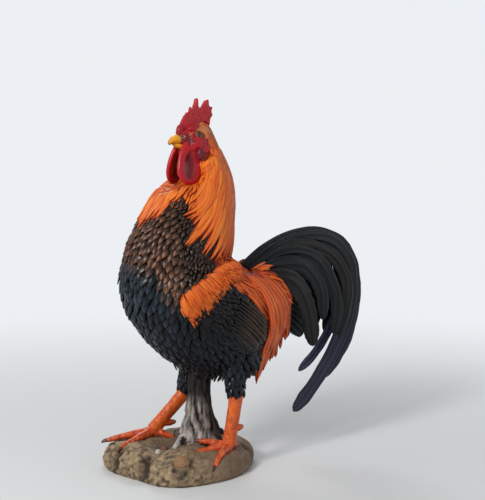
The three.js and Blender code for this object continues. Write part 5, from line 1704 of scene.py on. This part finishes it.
def stump():
    mesh, points, normals = moulded([copy_of("stump")], voxel=1.4, rounds=4)
    rel = points - (STUMP_X, 0, 0)
    around = np.arctan2(rel[:, 1], rel[:, 0])
    twist = around + 0.005 * points[:, 2] + 0.6 * grain(points * (1, 1, 0.4), 16, 2)
    ridges = np.abs(np.sin(twist * 5.5)) ** 0.5
    flakes = grain(points * (1.3, 1.3, 0.3), 4.4, 4)
    knots = ease(0.35, 0.7, grain(points + 40, 17, 1))
    inner = np.hypot(rel[:, 0], rel[:, 1]) < ROD_ROOM
    depth = np.where(inner, 0, 3.8 * (ridges - 0.7) + 2.6 * flakes + 2.4 * knots)
    moved = points + normals * depth[:, None]
    waist = np.interp(points[:, 2], [36, 50, 60, 80, 98, 130], [1.2, 1.26, 1.18, 0.92, 0.72, 0.72])
    waist = np.where(inner, 1, waist)
    moved[:, :2] = (moved[:, :2] - (STUMP_X, 0)) * waist[:, None] + (STUMP_X, 0)
    moved[:, 2] = np.maximum(moved[:, 2], points[:, 2].min())
    # Painted light: the bark is painted pale on the side that faces the key lamp and dark away from it, less
    # pale towards the top
    lit = ease(-1, -17, rel[:, 0] + 0.5 * rel[:, 1])
    lit = lit * (1 - 0.6 * ease(75, 110, points[:, 2]))
    bark = blend(ink(66, 53, 47), ink(158, 148, 142), lit)
    # Painted shade in the bark's cracks, and the raised flakes painted lighter as painted highlight
    crack = np.clip(1.35 * (1 - ridges) + 0.9 * ease(0.1, -0.5, flakes), 0, 1)
    tone = blend(bark * (1 + 0.35 * flakes)[:, None], ink(26, 21, 19), crack)
    # Painted highlight low on the pale side
    tone = blend(tone, ink(196, 188, 182), ease(56, 44, points[:, 2]) * lit * ease(-0.2, 0.4, flakes) * 0.7)
    # Painted shade on the rear half, and near black under the belly
    tone = blend(tone, ink(34, 26, 22), ease(4, 16, rel[:, 0] + 0.2 * rel[:, 1]) * 0.6)
    tone = blend(tone, ink(18, 16, 16), ease(82, 104, points[:, 2]) * 0.9)
    finish_form(mesh, "stump_bark", moved, tone, BARK_PAINT, "bark", "stump")


# Clefts that part the rock into lobes, each from the rim inward
CLEFTS = [
    ((-76, -42), (-52, -16)), ((-97, 14), (-68, 27)), ((78, 66), (46, 36)), ((2, 96), (6, 60)),
    ((104, -34), (74, -22)), ((-64, 62), (-40, 38)),
]


def cleft_depth(points):
    """0 away from the clefts, 1 along their middles."""
    deepest = np.zeros(len(points))
    for start, end in CLEFTS:
        start, end = np.array(start, float), np.array(end, float)
        along = end - start
        t = np.clip(((points[:, :2] - start) @ along) / (along @ along), 0, 1)
        bend = 4 * grain(points, 18, 2)
        gap = np.linalg.norm(points[:, :2] - start - t[:, None] * along, axis=1) + bend
        deepest = np.maximum(deepest, np.exp(-((gap / 6.5) ** 2)) * ease(1, 0.6, t))
    return deepest


def rock():
    mesh, points, normals = moulded([copy_of("rock_base")], voxel=1.6, rounds=6)
    upper = ease(1.0, 7.0, points[:, 2]) * ease(-0.6, 0.1, normals[:, 2])
    lumps = grain(points, 34, 2) * 3.4 - np.abs(grain(points + 90, 13, 2)) * 3.2 + 1.0
    coarse = ease(20, -50, points[:, 0] + 0.25 * points[:, 1])
    grit = grain(points, 4.2, 2) * (0.5 + 1.3 * coarse)
    cleft = cleft_depth(points)
    dip = np.exp(-(((points[:, 0] + 26) / 24) ** 2) - (((points[:, 1] - 4) / 20) ** 2))
    hollow = dip * ease(24, 34, points[:, 2])
    moved = points + normals * ((lumps + grit - 8.5 * cleft - 4.5 * hollow) * upper)[:, None]
    moved[:, 2] = np.maximum(moved[:, 2], 0.0)
    low = (points[:, 2] < 1.2) & (normals[:, 2] < -0.5)
    moved[low, 2] = 0.0
    # Painted highlight on the raised grit and painted shade in its pits
    coarse_tone = blend(ink(90, 75, 60), ink(172, 149, 116), np.clip(0.5 + 0.5 * grit, 0, 1))
    smooth_tone = blend(ink(98, 80, 66), ink(140, 116, 92), np.clip(0.5 + 0.6 * grain(points, 16, 3), 0, 1))
    tone = blend(smooth_tone, coarse_tone, coarse)
    # Painted shade: dark in the clefts, the hollow and the pits of the grit, with a painted shadow in a ring
    # round the big stone
    ring = np.exp(-(((np.hypot(points[:, 0] + 29, points[:, 1] + 67) - 11) / 3.5) ** 2))
    dark = np.clip(cleft + 0.7 * hollow + 0.7 * ring + 0.5 * ease(0.2, 1.2, -grit) * coarse, 0, 0.92)
    tone = blend(tone, ink(46, 36, 30), dark)
    finish_form(mesh, "rock", moved, tone, ROCK_PAINT, "rock", "rock_base")


# Stones half sunk in the top of the rock: middle, half-axes, paint
STONES = [
    ((-29, -67, 29), (10.5, 10, 8.5), ink(150, 116, 82)), ((-27, -8, 32.6), (6, 4.5, 4), ink(122, 80, 64)),
    ((-42, -22, 33), (4.6, 3.8, 3.6), ink(190, 182, 170)), ((64, 34, 31), (9, 8, 6), ink(142, 120, 96)),
    ((-50, 40, 29), (8, 7, 6), ink(150, 128, 100)),
]


def pebbles():
    for k, (centre, radii, shade) in enumerate(STONES):
        mesh, points, normals = moulded([lump(centre, radii, 0.4 * k)], voxel=0.9, rounds=3)
        bumps = grain(points + 50 * k, 9, 3)
        tone = blend(shade * 0.75, shade * 1.15, 0.5 + 0.5 * bumps)
        moved = points + normals * bumps[:, None]
        finish_form(mesh, f"pebble_{k + 1}", moved, tone, ROCK_PAINT, "rock")


stump()
rock()
pebbles()

# Steel inside keeps its CAD form
STEEL = steel()
STEEL_NODES = [
    "spine_rod", "rock_washer", "rock_nut", "body_washer", "body_nut", "left_leg_rod", "right_leg_rod",
    "tail_pin",
]
for name in STEEL_NODES:
    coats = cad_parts[name].data.materials
    coats.clear()
    coats.append(STEEL)

# Floor, backdrop and light
BACKDROP = (0.84, 0.87, 0.90, 1)
FLOOR_SIZE = 8.0
FLOOR_DROP = 0.0003  # keeps the floor just clear of the rock's underside
FADE_FROM, FADE_TO = 0.3, 1.5  # where the floor passes into the backdrop, in metres from the figure
FIGURE_MIDDLE = Vector((0.05, 0, 0.25))


def seen_directly(tree):
    """1 for rays from the camera, a mirror or glass, which see the backdrop's plain colour."""
    path = shader_node(tree, "ShaderNodeLightPath", {})
    total = path.outputs["Is Camera Ray"]
    for ray in ("Is Glossy Ray", "Is Transmission Ray"):
        add = shader_node(tree, "ShaderNodeMath", {
            0: total, 1: path.outputs[ray],
        }, operation="ADD", use_clamp=True)
        total = add.outputs["Value"]
    return total


def floor():
    """Pale floor that keeps the figure's shadow and fades into the backdrop further out."""
    bm = bmesh.new()
    bmesh.ops.create_circle(bm, cap_ends=True, segments=96, radius=FLOOR_SIZE)
    mesh = bpy.data.meshes.new("floor")
    bm.to_mesh(mesh)
    bm.free()
    ground = bpy.data.objects.new("floor", mesh)
    ground.location.z = -FLOOR_DROP
    bpy.context.scene.collection.objects.link(ground)
    material, tree, shader = blank("floor_paint")
    feed(tree, shader, {"Base Color": (0.78, 0.79, 0.80, 1), "Roughness": 0.9, "Specular IOR Level": 0.1})
    far = shader_node(tree, "ShaderNodeEmission", {"Color": BACKDROP})
    where = shader_node(tree, "ShaderNodeTexCoord", {})
    reach = shader_node(tree, "ShaderNodeVectorMath", {0: where.outputs["Object"]}, operation="LENGTH")
    fade = shader_node(tree, "ShaderNodeMapRange", {
        "Value": reach.outputs["Value"], "From Min": FADE_FROM, "From Max": FADE_TO,
    }, interpolation_type="SMOOTHSTEP")
    share = shader_node(tree, "ShaderNodeMath", {
        0: fade.outputs["Result"], 1: seen_directly(tree),
    }, operation="MULTIPLY")
    mix = shader_node(tree, "ShaderNodeMixShader", {
        "Fac": share.outputs["Value"], 1: shader.outputs["BSDF"], 2: far.outputs["Emission"],
    })
    feed(tree, tree.nodes["Material Output"], {"Surface": mix.outputs["Shader"]})
    mesh.materials.append(material)


def surroundings():
    world = bpy.data.worlds.new("studio")
    bpy.context.scene.world = world
    world.use_nodes = True
    tree = world.node_tree
    sky = tree.nodes["Background"]
    feed(tree, sky, {"Color": (0.94, 0.97, 1.0, 1), "Strength": 0.38})
    seen = shader_node(tree, "ShaderNodeBackground", {"Color": BACKDROP})
    mix = shader_node(tree, "ShaderNodeMixShader", {
        "Fac": seen_directly(tree), 1: sky.outputs["Background"], 2: seen.outputs["Background"],
    })
    feed(tree, tree.nodes["World Output"], {"Surface": mix.outputs["Shader"]})


def lamp(name, where, size, power, colour=(1, 1, 1)):
    """A round soft lamp that faces the figure's middle."""
    light = bpy.data.lights.new(name, "AREA")
    light.shape = "DISK"
    light.size = size
    light.energy = power
    light.color = colour
    thing = bpy.data.objects.new(name, light)
    thing.location = where
    thing.rotation_euler = (FIGURE_MIDDLE - Vector(where)).to_track_quat("-Z", "Y").to_euler()
    bpy.context.scene.collection.objects.link(thing)


floor()
surroundings()
lamp("key", (-1.6, -0.9, 1.3), size=0.6, power=29, colour=(1.0, 0.98, 0.95))
lamp("fill", (1.2, -1.6, 0.8), size=1.2, power=3.5)
lamp("rim", (0.6, 1.5, 1.4), size=0.9, power=10)
